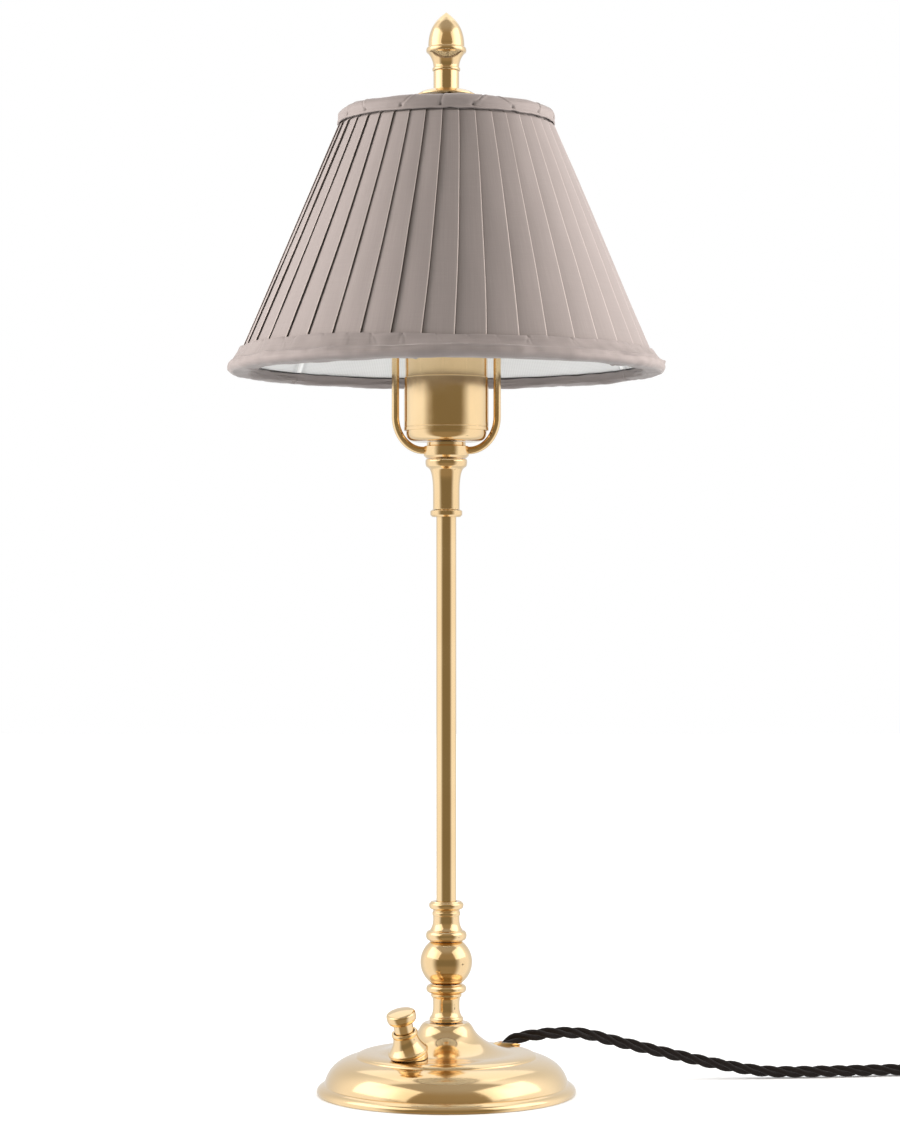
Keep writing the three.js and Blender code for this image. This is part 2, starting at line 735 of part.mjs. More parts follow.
function switchButton() {
  const foot = buttonHeadFoot;
  const rise = buttonHeadHeight;
  const rim = buttonHeadRadius;
  const outline = new Outline(buttonStemRadius, -buttonStemDepth)
    .line(buttonStemRadius, foot)
    .line(0.8 * rim, foot + 0.02 * rise)
    .curve(rim, foot + 0.45 * rise, [[0.97 * rim, foot + 0.1 * rise]], 2)
    .line(rim, foot + 0.66 * rise)
    .curve(0.82 * rim, foot + 0.9 * rise, [[rim, foot + 0.86 * rise]], 2)
    .curve(0, foot + rise, [[0.4 * rim, foot + rise]], 3);
  return turned(outline, 0);
}

// The switch's case under the shell, with the threaded bush that comes up through it.
function switchBody() {
  const foot = -switchBodyTop - switchBodyDepth;
  const outline = new Outline(switchBodyRadius - 0.6, foot)
    .line(switchBodyRadius, foot + 0.6)
    .line(switchBodyRadius, -switchBodyTop)
    .line(bushRadius, -switchBodyTop)
    .line(bushRadius, bushHeight);
  const well = -buttonStemDepth - buttonTravel - seat;
  return turned(outline, 0).subtract(round(buttonStemRadius + slip, well, bushHeight + 1));
}

function makeSwitch() {
  const group = new THREE.Group();
  switchPlace.decompose(group.position, group.quaternion, group.scale);
  add(group, "switch_body", switchBody(), "plug");
  add(group, "switch_ring", switchRing(), "brass");
  add(group, "switch_collar", switchCollar(), "brass");
  add(group, "switch_button", switchButton(), "brass");
  return group;
}

// Harp

// The middle line of the harp's wire, from inside the hub round to inside the hub again.
function harpLine(deeper = 0) {
  const inner = harpHalfWidth - harpBendRun;
  const spring = harpTop - harpHalfWidth;
  const side = [[hubRadius - harpSink - deeper, harpFoot]];
  const bendSteps = 6;
  const archSteps = 8;
  for (let i = 0; i <= bendSteps; i++) {
    const turn = (i / bendSteps) * (Math.PI / 2);
    side.push([
      inner + harpBendRun * Math.sin(turn),
      harpFoot + harpBendRise * (1 - Math.cos(turn)),
    ]);
  }
  for (let i = 0; i < archSteps; i++) {
    const turn = (i / archSteps) * (Math.PI / 2);
    side.push([harpHalfWidth * Math.cos(turn), spring + harpHalfWidth * Math.sin(turn)]);
  }
  const right = side.map(([x, z]) => new THREE.Vector3(x, 0, z));
  const left = side.map(([x, z]) => new THREE.Vector3(-x, 0, z)).reverse();
  return [...right, new THREE.Vector3(0, 0, harpTop), ...left];
}

// What the wire passes through is bored a little wider than the wire.
function harpBore() {
  return solid(tubeThrough(harpLine(seat), harpWireRadius + seat, wireSides));
}

function harpHub() {
  const outline = new Outline(0.88 * hubRadius, hubFoot)
    .line(hubRadius, hubFoot + 0.17 * hubHeight)
    .line(hubRadius, hubFoot + 0.74 * hubHeight)
    .line(hubNeckRadius, hubFoot + 0.81 * hubHeight)
    .line(hubNeckRadius, hubTop);
  return turned(outline, bore).subtract(harpBore());
}

function harpStud() {
  const foot = harpTop - studCollarHeight / 2;
  const outline = new Outline(studCollarRadius - 0.8, foot)
    .line(studCollarRadius, foot + 0.8)
    .line(studCollarRadius, studShoulder)
    .line(studRadius, studShoulder)
    .line(studRadius, studShoulder + studLength - 0.6)
    .line(studRadius - 0.6, studShoulder + studLength);
  return turned(outline, 0, smallFacets).subtract(harpBore());
}

function makeHarp() {
  const group = new THREE.Group();
  add(group, "harp_hub", harpHub(), "brass");
  add(group, "harp_bow", solid(tubeThrough(harpLine(), harpWireRadius, wireSides)), "brass");
  add(group, "harp_stud", harpStud(), "brass");
  return group;
}

// Lampholder and lamp

function socketCup() {
  const top = cupFoot + cupHeight;
  const form = (wall, foot, high) =>
    new Outline(cupRadius - cupCorner, foot)
      .curve(cupRadius - wall, cupFoot + cupCorner, [[cupRadius - wall, foot]], 3)
      .line(cupRadius - wall, high);
  const hollow = turned(form(cupWall, cupFloor, top + 1), 0, holderFacets);
  return turned(form(0, cupFoot, top), bore, holderFacets).subtract(hollow);
}

// The holder's shell steps in above its wide band.
function socketShell() {
  const foot = cupFoot + cupShown;
  const band = foot + holderBand;
  const top = foot + holderHeight;
  const outline = new Outline(holderRadius, foot)
    .line(holderRadius, band - 0.5)
    .line(holderTopRadius, band)
    .line(holderTopRadius, top);
  const hollow = new Outline(holderRadius - holderWall, foot - 1)
    .line(holderRadius - holderWall, band - 1)
    .line(holderTopRadius - holderWall, band - 0.5)
    .line(holderTopRadius - holderWall, top + 1);
  return turned(outline, 0, holderFacets).subtract(turned(hollow, 0, holderFacets));
}

function lampCap(foot) {
  const outline = new Outline(0.87 * contactRadius, foot)
    .line(contactRadius, foot + 1)
    .line(0.72 * lampCapRadius, foot + 4)
    .line(lampCapRadius, foot + 6)
    .line(lampCapRadius, foot + lampCapHeight);
  return turned(outline, 0);
}

// A hollow globe that is open at its neck, on the cap.
function lampGlobe(foot) {
  const neck = lampCapRadius - 0.8;
  const middle = foot + lampNeckHeight + Math.sqrt(globeRadius ** 2 - neck ** 2);
  const steps = 6;
  const form = (radius, throat, low) => {
    const start = -Math.acos(throat / radius);
    const outline = new Outline(throat, low);
    for (let i = 0; i <= steps; i++) {
      const rise = start + ((Math.PI / 2 - start) * i) / steps;
      outline.line(radius * Math.cos(rise), middle + radius * Math.sin(rise));
    }
    return turned(outline, 0);
  };
  return form(globeRadius, neck, foot)
    .subtract(form(globeRadius - globeWall, neck - globeWall, foot - 1));
}

function makeHolder() {
  const group = new THREE.Group();
  const insulatorTop = insulatorFoot + insulatorHeight;
  const wellFloor = insulatorFoot + insulatorFloor;
  const contactTop = wellFloor + seat + contactThickness;
  const insulator = round(insulatorRadius, insulatorFoot, insulatorTop)
    .subtract(round(screwShellRadius + seat, wellFloor, insulatorTop + 1));
  const threadFoot = wellFloor + seat;
  const threadTop = threadFoot + screwShellHeight;
  const thread = round(screwShellRadius, threadFoot, threadTop, screwShellRadius - screwShellWall);
  const contact = round(contactRadius, wellFloor + seat, contactTop, 0, smallFacets);
  add(group, "socket_cup", socketCup(), "brass");
  add(group, "socket_nut", nut(cupFloor + seat), "steel");
  add(group, "socket_shell", socketShell(), "brass");
  add(group, "socket_insulator", insulator, "ceramic");
  add(group, "screw_shell", thread, "brass");
  add(group, "centre_contact", contact, "brass");
  add(group, "bulb_cap", lampCap(contactTop + seat), "nickel");
  add(group, "bulb_glass", lampGlobe(contactTop + 2 * seat + lampCapHeight), "opal");
  return group;
}

// Shade

// Radius of the line of the folds at a height.
function foldRadius(z) {
  const share = (shadeTop - z) / shadeHeight;
  return shadeTopRadius + (shadeBottomRadius - shadeTopRadius) * share;
}

// Under the top trim the folds are pressed flat, and the cover passes round the top ring there.
const tuckRadius = foldRadius(topRingZ);
const tuckStep = 0.3 * pleatStep;
const topRingRadius = tuckRadius - tuckStep - coverThickness - 2 * seat - topWireRadius;
const bottomRingRadius =
  foldRadius(bottomRingZ) - pleatStep - coverThickness - 2 * seat - bottomWireRadius;

// Radius of the middle of the struts at a height: they stand flush with both rings inside.
function strutLine(z) {
  const low = bottomRingRadius - bottomWireRadius + strutRadius;
  const high = topRingRadius - topWireRadius + strutRadius;
  return low + ((high - low) * (z - bottomRingZ)) / (topRingZ - bottomRingZ);
}
const strutLean = Math.atan(strutLine(0) - strutLine(1));

// Radius, at a height, of a face that hangs inside the struts and is set back by a depth.
function insideStruts(z, depth) {
  return strutLine(z) - (strutRadius + seat + depth) / Math.cos(strutLean);
}

// The pleated cover: each panel climbs to a fold that stands over the foot of the next panel.
function pleatedCover() {
  const low = shadeFoot + bottomTuck;
  const bend = shadeTop - topTuck;
  const rows = [
    { z: low, outer: foldRadius(low), step: pleatStep },
    { z: bend, outer: foldRadius(bend), step: pleatStep },
    { z: shadeTop - topTrimHeight - seat, outer: tuckRadius + seat, step: tuckStep },
    { z: topRingZ - topWireRadius / 2, outer: tuckRadius, step: tuckStep },
  ];
  const corners = [
    { share: 0, drop: 1 },
    { share: 1, drop: 0 },
    { share: 0.965, drop: 0.6 },
  ];
  const panel = 360 / pleatCount;
  const inner = rows.filter((row) => row.z !== bend).map((row) => ({ ...row, inner: true }));
  const rings = [...rows, ...inner.reverse()];
  const spots = [];
  for (const { z, outer, step, inner } of rings) {
    const lag = (pleatTwist * (bend - z)) / (bend - low);
    for (let i = 0; i < pleatCount; i++) {
      corners.forEach(({ share, drop }, k) => {
        const across = inner ? k / corners.length : share;
        const radius = inner ? outer - step - coverThickness : outer - drop * step;
        spots.push(...polar(radius, pleatTurn - 90 - lag + panel * (i + across), z).toArray());
      });
    }
  }
  return solid(sleeve(spots, pleatCount * corners.length, rings.length));
}

// A closed sleeve from rings of equally many corners, the last of which joins the first.
function sleeve(spots, count, rings) {
  const faces = [];
  for (let ring = 0; ring < rings; ring++) {
    const above = (ring + 1) % rings;
    for (let k = 0; k < count; k++) {
      const next = (k + 1) % count;
      const [a, b] = [ring * count + k, ring * count + next];
      const [c, d] = [above * count + next, above * count + k];
      faces.push(a, b, c, a, c, d);
    }
  }
  const geometry = new THREE.BufferGeometry();
  geometry.setAttribute("position", new THREE.Float32BufferAttribute(spots, 3));
  return geometry.setIndex(faces);
}

// A strip of one thickness whose outer side follows an outline.
function strip(points, thickness) {
  const inner = inset(points, thickness).reverse();
  return revolved([...points, ...inner, points[0].clone()], shadeFacets);
}

// The lining hangs inside the struts, from trim to trim.
function lining() {
  const low = shadeFoot + bottomTrimReturn;
  const high = shadeTop - topTrimHeight;
  const outline = new Outline(insideStruts(low, 0), low).line(insideStruts(high, 0), high);
  return strip(outline.points, liningThickness);
}

// The facets of a trim are flat between its corners, so it is set wider to clear what it wraps.
const flat = 1 / Math.cos(Math.PI / shadeFacets);

// A strip folded over the top ring, notched where the spider's arms come through.
function topTrim() {
  const foot = shadeTop - topTrimHeight;
  const knee = shadeTop - topTrimHeight / 2;
  const outer = (tuckRadius + 2 * seat) * flat + trimThickness;
  const inner = (z) => insideStruts(z, trimThickness);
  const middle = (outer + inner(knee)) / 2;
  const outline = new Outline(outer, foot)
    .line(outer, knee)
    .curve(middle, shadeTop, [[outer, shadeTop]], 2)
    .curve(inner(topRingZ), topRingZ, [[inner(topRingZ), shadeTop]], 2)
    .line(inner(foot), foot);
  return strip(outline.points, trimThickness).subtract(armSolid(seat));
}

// A fuller roll folded under the bottom ring.
function bottomTrim() {
  const top = shadeFoot + bottomTrimHeight;
  const knee = shadeFoot + 0.61 * bottomTrimHeight;
  const inner = (z) => insideStruts(z, trimThickness);
  const outer = (z) => (foldRadius(z) + seat) * flat + trimThickness;
  const bulge = foldRadius(shadeFoot) + bottomTrimBulge;
  const turnedUnder = inner(bottomRingZ);
  const pulls = [[bulge + 0.2, shadeFoot], [bulge + 0.2, knee - 1.2]];
  const edge = shadeFoot + bottomTrimReturn - 2 * seat;
  const outline = new Outline(inner(edge), edge)
    .line(turnedUnder, bottomRingZ)
    .curve(bottomRingRadius, shadeFoot, [[turnedUnder, shadeFoot]], 2)
    .line(bulge - 3.8, shadeFoot)
    .curve(outer(knee), knee, pulls, 3)
    .line(outer(top), top);
  return strip(outline.points, trimThickness);
}

// The spider's arms, moved out by a gap where they cut the trim.
function armSolid(gap) {
  const middle = spiderFoot + spiderHubThickness - spiderArmRadius;
  let arms = null;
  for (let i = 0; i < spiderArms; i++) {
    const turn = strutTurn + (360 / spiderArms) * i;
    const from = polar(0.7 * spiderHubRadius, turn, middle);
    const to = polar(topRingRadius, turn, topRingZ);
    const arm = solid(rodGeometry(from, to, spiderArmRadius + gap, thinWireSides));
    arms = arms ? arms.add(arm) : arm;
  }
  return arms;
}

// The spider: hub, arms and top ring, brazed together.
function spider() {
  const wire = new THREE.TorusGeometry(topRingRadius, topWireRadius, thinWireSides, shadeFacets);
  const hub = round(spiderHubRadius, spiderFoot, spiderFoot + spiderHubThickness);
  return hub
    .add(armSolid(0))
    .add(solid(wire.translate(0, 0, topRingZ)))
    .subtract(round(studRadius + seat, spiderFoot - 9, spiderFoot + 9, 0, smallFacets));
}

function strut(turn) {
  const low = bottomRingZ + bottomWireRadius + seat;
  const high = topRingZ - topWireRadius - seat;
  const [from, to] = [polar(strutLine(low), turn, low), polar(strutLine(high), turn, high)];
  return solid(rodGeometry(from, to, strutRadius, thinWireSides));
}

// The domed cap that the finial presses down on the spider.
function shadeCap() {
  const outline = new Outline(capRadius, capFoot)
    .line(capRadius, capFoot + capEdge)
    .curve(0.47 * capRadius, capFoot + capHeight, [[0.8 * capRadius, capFoot + 0.95 * capHeight]], 3);
  return turned(outline, studRadius + seat);
}

// Neck, bead, flare, ring and pointed dome, bored from below for the stud.
function finial() {
  const flareFoot = finialFoot + finialNeckHeight + finialBeadHeight;
  const ringFoot = flareFoot + finialFlare;
  const domeFoot = ringFoot + finialRingHeight;
  const tip = domeFoot + finialDomeHeight;
  const flarePull = [1.01 * finialNeckRadius, flareFoot + 0.55 * finialFlare];
  const domePulls = [
    [finialShoulder, domeFoot + 0.44 * finialDomeHeight],
    [0.6 * finialShoulder, domeFoot + 0.75 * finialDomeHeight],
  ];
  const outline = new Outline(finialNeckRadius, finialFoot)
    .line(finialNeckRadius, finialFoot + finialNeckHeight)
    .bead(finialBeadHeight, 0.09 * finialNeckRadius)
    .curve(0.92 * finialRingRadius, ringFoot, [flarePull], 3)
    .bead(finialRingHeight, 0.09 * finialRingRadius, finialShoulder)
    .curve(0, tip, domePulls, 5);
  const stud = round(studRadius + seat, finialFoot - 1, studShoulder + studLength + seat);
  return turned(outline, 0).subtract(stud);
}

function makeShade() {
  const group = new THREE.Group();
  const wire = new THREE.TorusGeometry(bottomRingRadius, bottomWireRadius, thinWireSides, shadeFacets);
  add(group, "shade_spider", spider(), "steel");
  add(group, "shade_bottom_ring", solid(wire.translate(0, 0, bottomRingZ)), "steel");
  for (let i = 0; i < strutCount; i++) {
    add(group, "shade_strut_" + (i + 1), strut(strutTurn + (360 / strutCount) * i), "steel");
  }
  add(group, "shade_lining", lining(), "lining");
  add(group, "shade_cover", pleatedCover(), "cover");
  add(group, "shade_top_trim", topTrim(), "cover");
  add(group, "shade_bottom_trim", bottomTrim(), "cover");
  add(group, "shade_cap", shadeCap(), "brass");
  add(group, "finial", finial(), "brass");
  return group;
}

// Cord, outlet and plug

// The outlet is a tube along the cord's exit, cut off a little proud of the shell all round.
function cordOutlet() {
  const shell = solid(formUnder(outletProud).applyMatrix4(outletPlace.clone().invert()));
  return round(outletBore + outletWall, -outletInside, 20, outletBore).intersect(shell);
}

// The stretch that lies free: up out of the outlet, down to the table and away to the coil.
function cordLead() {
  const out = (reach) => outletSpot.clone().addScaledVector(exitAxis, reach);
  const coilSide = coilY + coilRadius;
  const chosen = [
    [42, 26.4, 24.8],
    [49, 27.9, 25.5],
    [56, 30, 25.7],
    [64, 32.5, 25.5],
    [72, 35, 24.3],
    [80, 37, 22.2],
    [90, 39, 19.4],
    [98, 40.5, 17.4],
    [107, 42, 15.1],
    [120, 43.8, 11.9],
    [133, 45, 8.9],
    [146, 45.8, 6.3],
    [158, 46.4, 4.3],
    [170, 47, 3.3],
    [185, 48.2, cordRest],
    [200, 50, cordRest],
    [220, 53, cordRest],
    [240, 55.8, cordRest],
    [260, coilSide - 0.2, cordRest],
    [coilX - 2 * cordRadius - seat, coilSide, cordRest],
  ];
  const points = [out(-cordEndInside), out(0), out(cordStraight)];
  points.push(...chosen.map((spot) => new THREE.Vector3(...spot)));
  return solid(tubeAlong(new THREE.CatmullRomCurve3(points), cordRadius, 8, 28));
}

// The middle line of the coil: it spirals in on the table, climbs one layer in the half turn
// where the spiral reverses, and spirals out again on top. Both ends run straight.
function coilLine() {
  const half = coilTurns / 2;
  const steps = Math.round(coilTurns * loopSteps);
  const straight = 2 * cordRadius;
  const points = [new THREE.Vector3(coilX - straight, coilY + coilRadius, cordRest)];
  for (let i = 0; i <= steps; i++) {
    const turn = (i / steps) * coilTurns;
    const wound = half - Math.abs(turn - half);
    const climb = THREE.MathUtils.smoothstep(turn - half, -0.25, 0.25);
    const spot = polar(coilRadius - coilStep * wound, 90 - 360 * turn, cordRest + coilStep * climb);
    points.push(spot.add(new THREE.Vector3(coilX, coilY, 0)));
  }
  points.push(points.at(-1).clone().add(new THREE.Vector3(0, -straight, 0)));
  return points;
}

// Least gap between stretches of a line that lie more than a few diameters apart along it.
function leastGap(points, radius) {
  const fine = [];
  for (let i = 0; i < points.length - 1; i++) {
    for (let k = 0; k < 4; k++) fine.push(points[i].clone().lerp(points[i + 1], k / 4));
  }
  const reach = [0];
  for (let i = 1; i < fine.length; i++) reach.push(reach[i - 1] + fine[i].distanceTo(fine[i - 1]));
  let least = Infinity;
  for (let i = 0; i < fine.length; i++) {
    for (let k = i + 1; k < fine.length; k++) {
      if (reach[k] - reach[i] > 8 * radius) least = Math.min(least, fine[i].distanceTo(fine[k]));
    }
  }
  return least - 2 * radius;
}

// From the coil's upper layer over to the sleeve of the plug.
function cordTail() {
  const high = cordRest + coilStep;
  const start = coilY - 2 * cordRadius - seat;
  const at = (share, z) => new THREE.Vector3(coilX + coilRadius, start - share * tailLength, z);
  const route = new THREE.CatmullRomCurve3([
    at(0, high),
    at(0.2, high + 0.2),
    at(0.5, (high + plugRest) / 2),
    at(0.8, plugRest - 0.2),
    at(1, plugRest),
  ]);
  return solid(tubeAlong(route, cordRadius, 8, 6));
}

// The plug's own Z axis runs from its sleeve to its pins.
function plugBody() {
  const foot = sleeveLength + seat;
  const face = foot + plugGripLength;
  const top = face + plugFaceLength;
  const pulls = [[1.04 * plugGripRadius, foot + 6], [0.88 * plugGripRadius, face - 4]];
  const outline = new Outline(sleeveRadius + 1.2, foot)
    .curve(plugGripRadius, face - 5, pulls, 4)
    .line(0.96 * plugRadius, face)
    .line(plugRadius, face + 0.8)
    .line(plugRadius, top - 0.8)
    .line(plugRadius - 0.8, top);
  let body = turned(outline, 0);
  for (const side of [-1, 1]) {
    body = body
      .subtract(earthStrip(side, seat))
      .subtract(pin(side, seat))
      .subtract(notch(side * plugRadius, face, top));
  }
  return body;
}

// A notch in the side of the plug's face.
function notch(x, foot, top) {
  const half = pinRadius;
  return solid(boxGeometry([x - half, -half, foot - 1], [x + half, half, top + 1]));
}

const plugTop = sleeveLength + seat + plugGripLength + plugFaceLength;

function pin(side, gap) {
  const foot = plugTop - 4 - gap;
  const tip = plugTop + pinLength;
  const outline = new Outline(pinRadius + gap, foot)
    .line(pinRadius + gap, tip - 1.5)
    .line(pinRadius + gap - 1, tip);
  return turned(outline, 0, smallFacets, [(side * pinSpacing) / 2, 0]);
}

// A spring strip in a groove of the plug's rim.
function earthStrip(side, gap) {
  const outer = plugRadius - 0.4;
  const inner = outer - earthThickness - gap;
  const across = earthWidth / 2 + gap;
  const low = plugTop - plugFaceLength + 1.5 - gap;
  const y = [side * inner, side * (gap ? plugRadius + 1 : outer)].sort((a, b) => a - b);
  return solid(boxGeometry([-across, y[0], low], [across, y[1], plugTop + gap * 4]));
}

// A tapered sleeve with rings, where the cord goes into the plug.
function plugSleeve() {
  const outline = new Outline(cordRadius + 1, 0);
  const rings = 3;
  const pitch = sleeveLength / rings;
  for (let i = 0; i < rings; i++) {
    const radius = cordRadius + 1.6 + ((sleeveRadius - cordRadius - 1.6) * i) / (rings - 1);
    outline.line(radius, i * pitch + 0.6);
    outline.line(radius, (i + 1) * pitch - 1.6);
    if (i < rings - 1) outline.line(radius - 0.8, (i + 1) * pitch - 0.9);
  }
  return turned(outline.line(sleeveRadius, sleeveLength), 0, smallFacets);
}

function makeCord() {
  const group = new THREE.Group();
  const outlet = new THREE.Group();
  outletPlace.decompose(outlet.position, outlet.quaternion, outlet.scale);
  add(outlet, "cord_outlet", cordOutlet(), "brass");
  const coil = coilLine();
  console.log("least gap of the coil to itself, mm:", leastGap(coil, cordRadius).toFixed(2));
  add(group, "cord_lead", cordLead(), "cord");
  add(group, "cord_coil", solid(tubeThrough(coil, cordRadius, loopSides)), "cord");
  add(group, "cord_tail", cordTail(), "cord");
  const plug = new THREE.Group();
  plug.position.set(
    coilX + coilRadius,
    coilY - 2 * cordRadius - 2 * seat - tailLength,
    plugRest,
  );
  plug.rotation.x = Math.PI / 2;
  add(plug, "plug_relief", plugSleeve(), "plug");
  add(plug, "plug_body", plugBody(), "plug");
  [1, -1].forEach((side, i) => {
    add(plug, "plug_pin_" + (i + 1), pin(side, 0), "nickel");
    add(plug, "plug_earth_" + (i + 1), earthStrip(side, 0), "nickel");
  });
  return group.add(outlet, plug);
}

const lamp = new THREE.Group();
lamp.add(makeBase(), makeStem(), makeSwitch(), makeHarp(), makeHolder(), makeShade(), makeCord());
export default lamp;
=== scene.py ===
# A brass table lamp with a knife-pleated shade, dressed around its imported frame.
# The dictionaries hold millimetres and degrees; the scene itself is in metres, with +Z up.
import json
import math
import random
from contextlib import contextmanager

import bmesh
import bpy
from mathutils import Matrix, Vector, noise


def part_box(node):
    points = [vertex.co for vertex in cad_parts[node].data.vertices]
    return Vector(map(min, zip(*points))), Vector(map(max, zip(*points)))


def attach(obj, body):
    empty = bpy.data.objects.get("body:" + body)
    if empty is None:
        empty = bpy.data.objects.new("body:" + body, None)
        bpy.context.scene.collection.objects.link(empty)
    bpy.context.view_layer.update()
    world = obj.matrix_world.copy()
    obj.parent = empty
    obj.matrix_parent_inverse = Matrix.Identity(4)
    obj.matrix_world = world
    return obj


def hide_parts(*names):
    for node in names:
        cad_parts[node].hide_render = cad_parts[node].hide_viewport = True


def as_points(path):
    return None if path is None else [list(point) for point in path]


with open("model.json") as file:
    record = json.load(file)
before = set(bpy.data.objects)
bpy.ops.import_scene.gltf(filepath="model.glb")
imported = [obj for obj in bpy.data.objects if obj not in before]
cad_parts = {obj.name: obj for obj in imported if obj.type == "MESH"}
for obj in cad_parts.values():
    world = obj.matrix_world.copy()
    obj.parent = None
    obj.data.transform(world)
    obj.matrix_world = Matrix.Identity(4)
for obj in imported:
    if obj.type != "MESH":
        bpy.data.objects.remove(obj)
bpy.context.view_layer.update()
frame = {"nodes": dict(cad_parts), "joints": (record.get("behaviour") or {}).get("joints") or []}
mm = 0.001
clearance = 0.3  # mm, between pieces that fit into each other

# Camera, at the height and distance from which the lamp was photographed

photoView = {
    "height": 1126,
    "focalPixels": 3000,
    "horizon": 600,  # pixel row
    "place": (1.85, -1500, 246.5),
}


def makeCamera():
    view = photoView
    place = [value * mm for value in view["place"]]
    bpy.ops.object.camera_add(location=place, rotation=(math.pi / 2, 0, 0))
    camera = bpy.context.object
    camera.name = "photoCamera"
    camera.data.sensor_width = 36
    camera.data.lens = 36 * view["focalPixels"] / view["height"]
    camera.data.shift_y = (view["horizon"] - view["height"] / 2) / view["height"]
    bpy.context.scene.camera = camera


makeCamera()
print("camera set")

# Bench tools


def makeActive(piece):
    for item in bpy.context.selected_objects:
        item.select_set(False)
    piece.select_set(True)
    bpy.context.view_layer.objects.active = piece


@contextmanager
def editing(piece):
    makeActive(piece)
    bpy.ops.object.mode_set(mode="EDIT")
    yield
    bpy.ops.object.mode_set(mode="OBJECT")


def applyModifier(piece, kind, **settings):
    modifier = piece.modifiers.new("work", kind)
    for key, value in settings.items():
        setattr(modifier, key, value)
    makeActive(piece)
    bpy.ops.object.modifier_apply(modifier=modifier.name)


def softenEdges(piece, width, segments=2):
    sharp = {"limit_method": "ANGLE", "angle_limit": math.radians(32)}
    applyModifier(piece, "BEVEL", width=width * mm, segments=segments, **sharp)


def shadeSmooth(piece, angle=34):
    # long faces keep their own direction, so that straight walls reflect as straight
    makeActive(piece)
    bpy.ops.object.shade_smooth_by_angle(angle=math.radians(angle))
    applyModifier(piece, "WEIGHTED_NORMAL", keep_sharp=True)


def carve(piece, cutter, operation="DIFFERENCE"):
    applyModifier(piece, "BOOLEAN", object=cutter, operation=operation, solver="EXACT")
    bpy.data.objects.remove(cutter)


def putInPlace(piece, place):
    piece.matrix_world = place
    makeActive(piece)
    bpy.ops.object.transform_apply(location=True, rotation=True, scale=True)


def heights(node):
    low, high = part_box(node)
    return low.z / mm, high.z / mm


def outwards(reach, turn, z):
    angle = math.radians(turn)
    return Vector((reach * math.cos(angle), reach * math.sin(angle), z))


def shift(x=0, y=0, z=0):
    return Matrix.Translation((x * mm, y * mm, z * mm))


def clamped(value):
    return min(max(value, 0), 1)


def hump(away, width):
    # 1 in the middle, and next to nothing from twice the width on
    return math.exp(-((away / width) ** 2))


class Profile:
    # a turner's template: radius and height, drawn upwards
    def __init__(self, r, z):
        self.points = [(r, z)]

    def line(self, r, z):
        return self.lines((r, z))

    def lines(self, *points):
        self.points += points
        return self

    def curve(self, r, z, pulls, steps=10):
        knots = [self.points[-1], *pulls, (r, z)]
        top = len(knots) - 1
        for i in range(1, steps + 1):
            t = i / steps
            weights = [math.comb(top, k) * t**k * (1 - t) ** (top - k) for k in range(top + 1)]
            self.line(*(sum(w * knot[axis] for w, knot in zip(weights, knots)) for axis in (0, 1)))
        return self

    def bead(self, height, swell, r=None):
        r0, z0 = self.points[-1]
        r = r0 if r is None else r
        proud = swell * 4 / 3
        return self.curve(r, z0 + height, [(r0 + proud, z0), (r + proud, z0 + height)])

    def groove(self, height, depth):
        return self.bead(height, -depth)

    def outward(self, i):
        # the direction square to the line at one of its points
        r0, z0 = self.points[max(i - 1, 0)]
        r1, z1 = self.points[min(i + 1, len(self.points) - 1)]
        run = math.hypot(r1 - r0, z1 - z0)
        return (z1 - z0) / run, (r0 - r1) / run

    def inset(self, wall):
        # the same line, moved inwards
        sides = [self.outward(i) for i in range(len(self.points))]
        return [(r - wall * x, z - wall * y) for (r, z), (x, y) in zip(self.points, sides)]

    def solid(self, bore=0):
        # closed at both ends on its bore, or on the axis
        points = [(bore, self.points[0][1]), *self.points, (bore, self.points[-1][1])]
        return points + points[:1] if bore else points


def closeUp():
    # joins corners that meet, and turns all faces outwards
    bpy.ops.mesh.select_all(action="SELECT")
    bpy.ops.mesh.remove_doubles(threshold=0.01 * mm)
    bpy.ops.mesh.normals_make_consistent(inside=False)


def turnOnLathe(name, points, facets):
    bpy.ops.mesh.primitive_plane_add(size=mm)
    piece = bpy.context.object
    piece.name = name
    with editing(piece):
        bpy.ops.mesh.select_all(action="SELECT")
        bpy.ops.mesh.merge(type="CENTER")
        bpy.ops.transform.translate(value=(points[0][0] * mm, 0, points[0][1] * mm))
        for (r0, z0), (r1, z1) in zip(points, points[1:]):
            step = ((r1 - r0) * mm, 0, (z1 - z0) * mm)
            bpy.ops.mesh.extrude_vertices_move(TRANSFORM_OT_translate={"value": step})
        bpy.ops.mesh.select_all(action="SELECT")
        bpy.ops.mesh.spin(steps=facets, angle=2 * math.pi, center=(0, 0, 0), axis=(0, 0, 1))
        closeUp()
    return piece


def drill(radius, low, high, place, facets=48):
    bpy.ops.mesh.primitive_cylinder_add(vertices=facets, radius=radius * mm, depth=(high - low) * mm)
    cutter = bpy.context.object
    putInPlace(cutter, place @ shift(z=(low + high) / 2))
    return cutter


def block(size, place):
    bpy.ops.mesh.primitive_cube_add(size=mm)
    cutter = bpy.context.object
    putInPlace(cutter, place @ Matrix.Diagonal((*size, 1)))
    return cutter


def bendWire(name, points, radius, closed=False, roundness=6):
    data = bpy.data.curves.new(name, "CURVE")
    data.dimensions = "3D"
    data.bevel_depth = radius * mm
    data.bevel_resolution = roundness
    data.use_fill_caps = not closed
    spline = data.splines.new("POLY")
    spline.points.add(len(points) - 1)
    for spot, place in zip(spline.points, points):
        spot.co = (*(value * mm for value in place), 1)
    spline.use_cyclic_u = closed
    wire = bpy.data.objects.new(name, data)
    bpy.context.collection.objects.link(wire)
    makeActive(wire)
    bpy.ops.object.convert(target="MESH")
    wire = bpy.context.object
    with editing(wire):
        closeUp()
    return wire


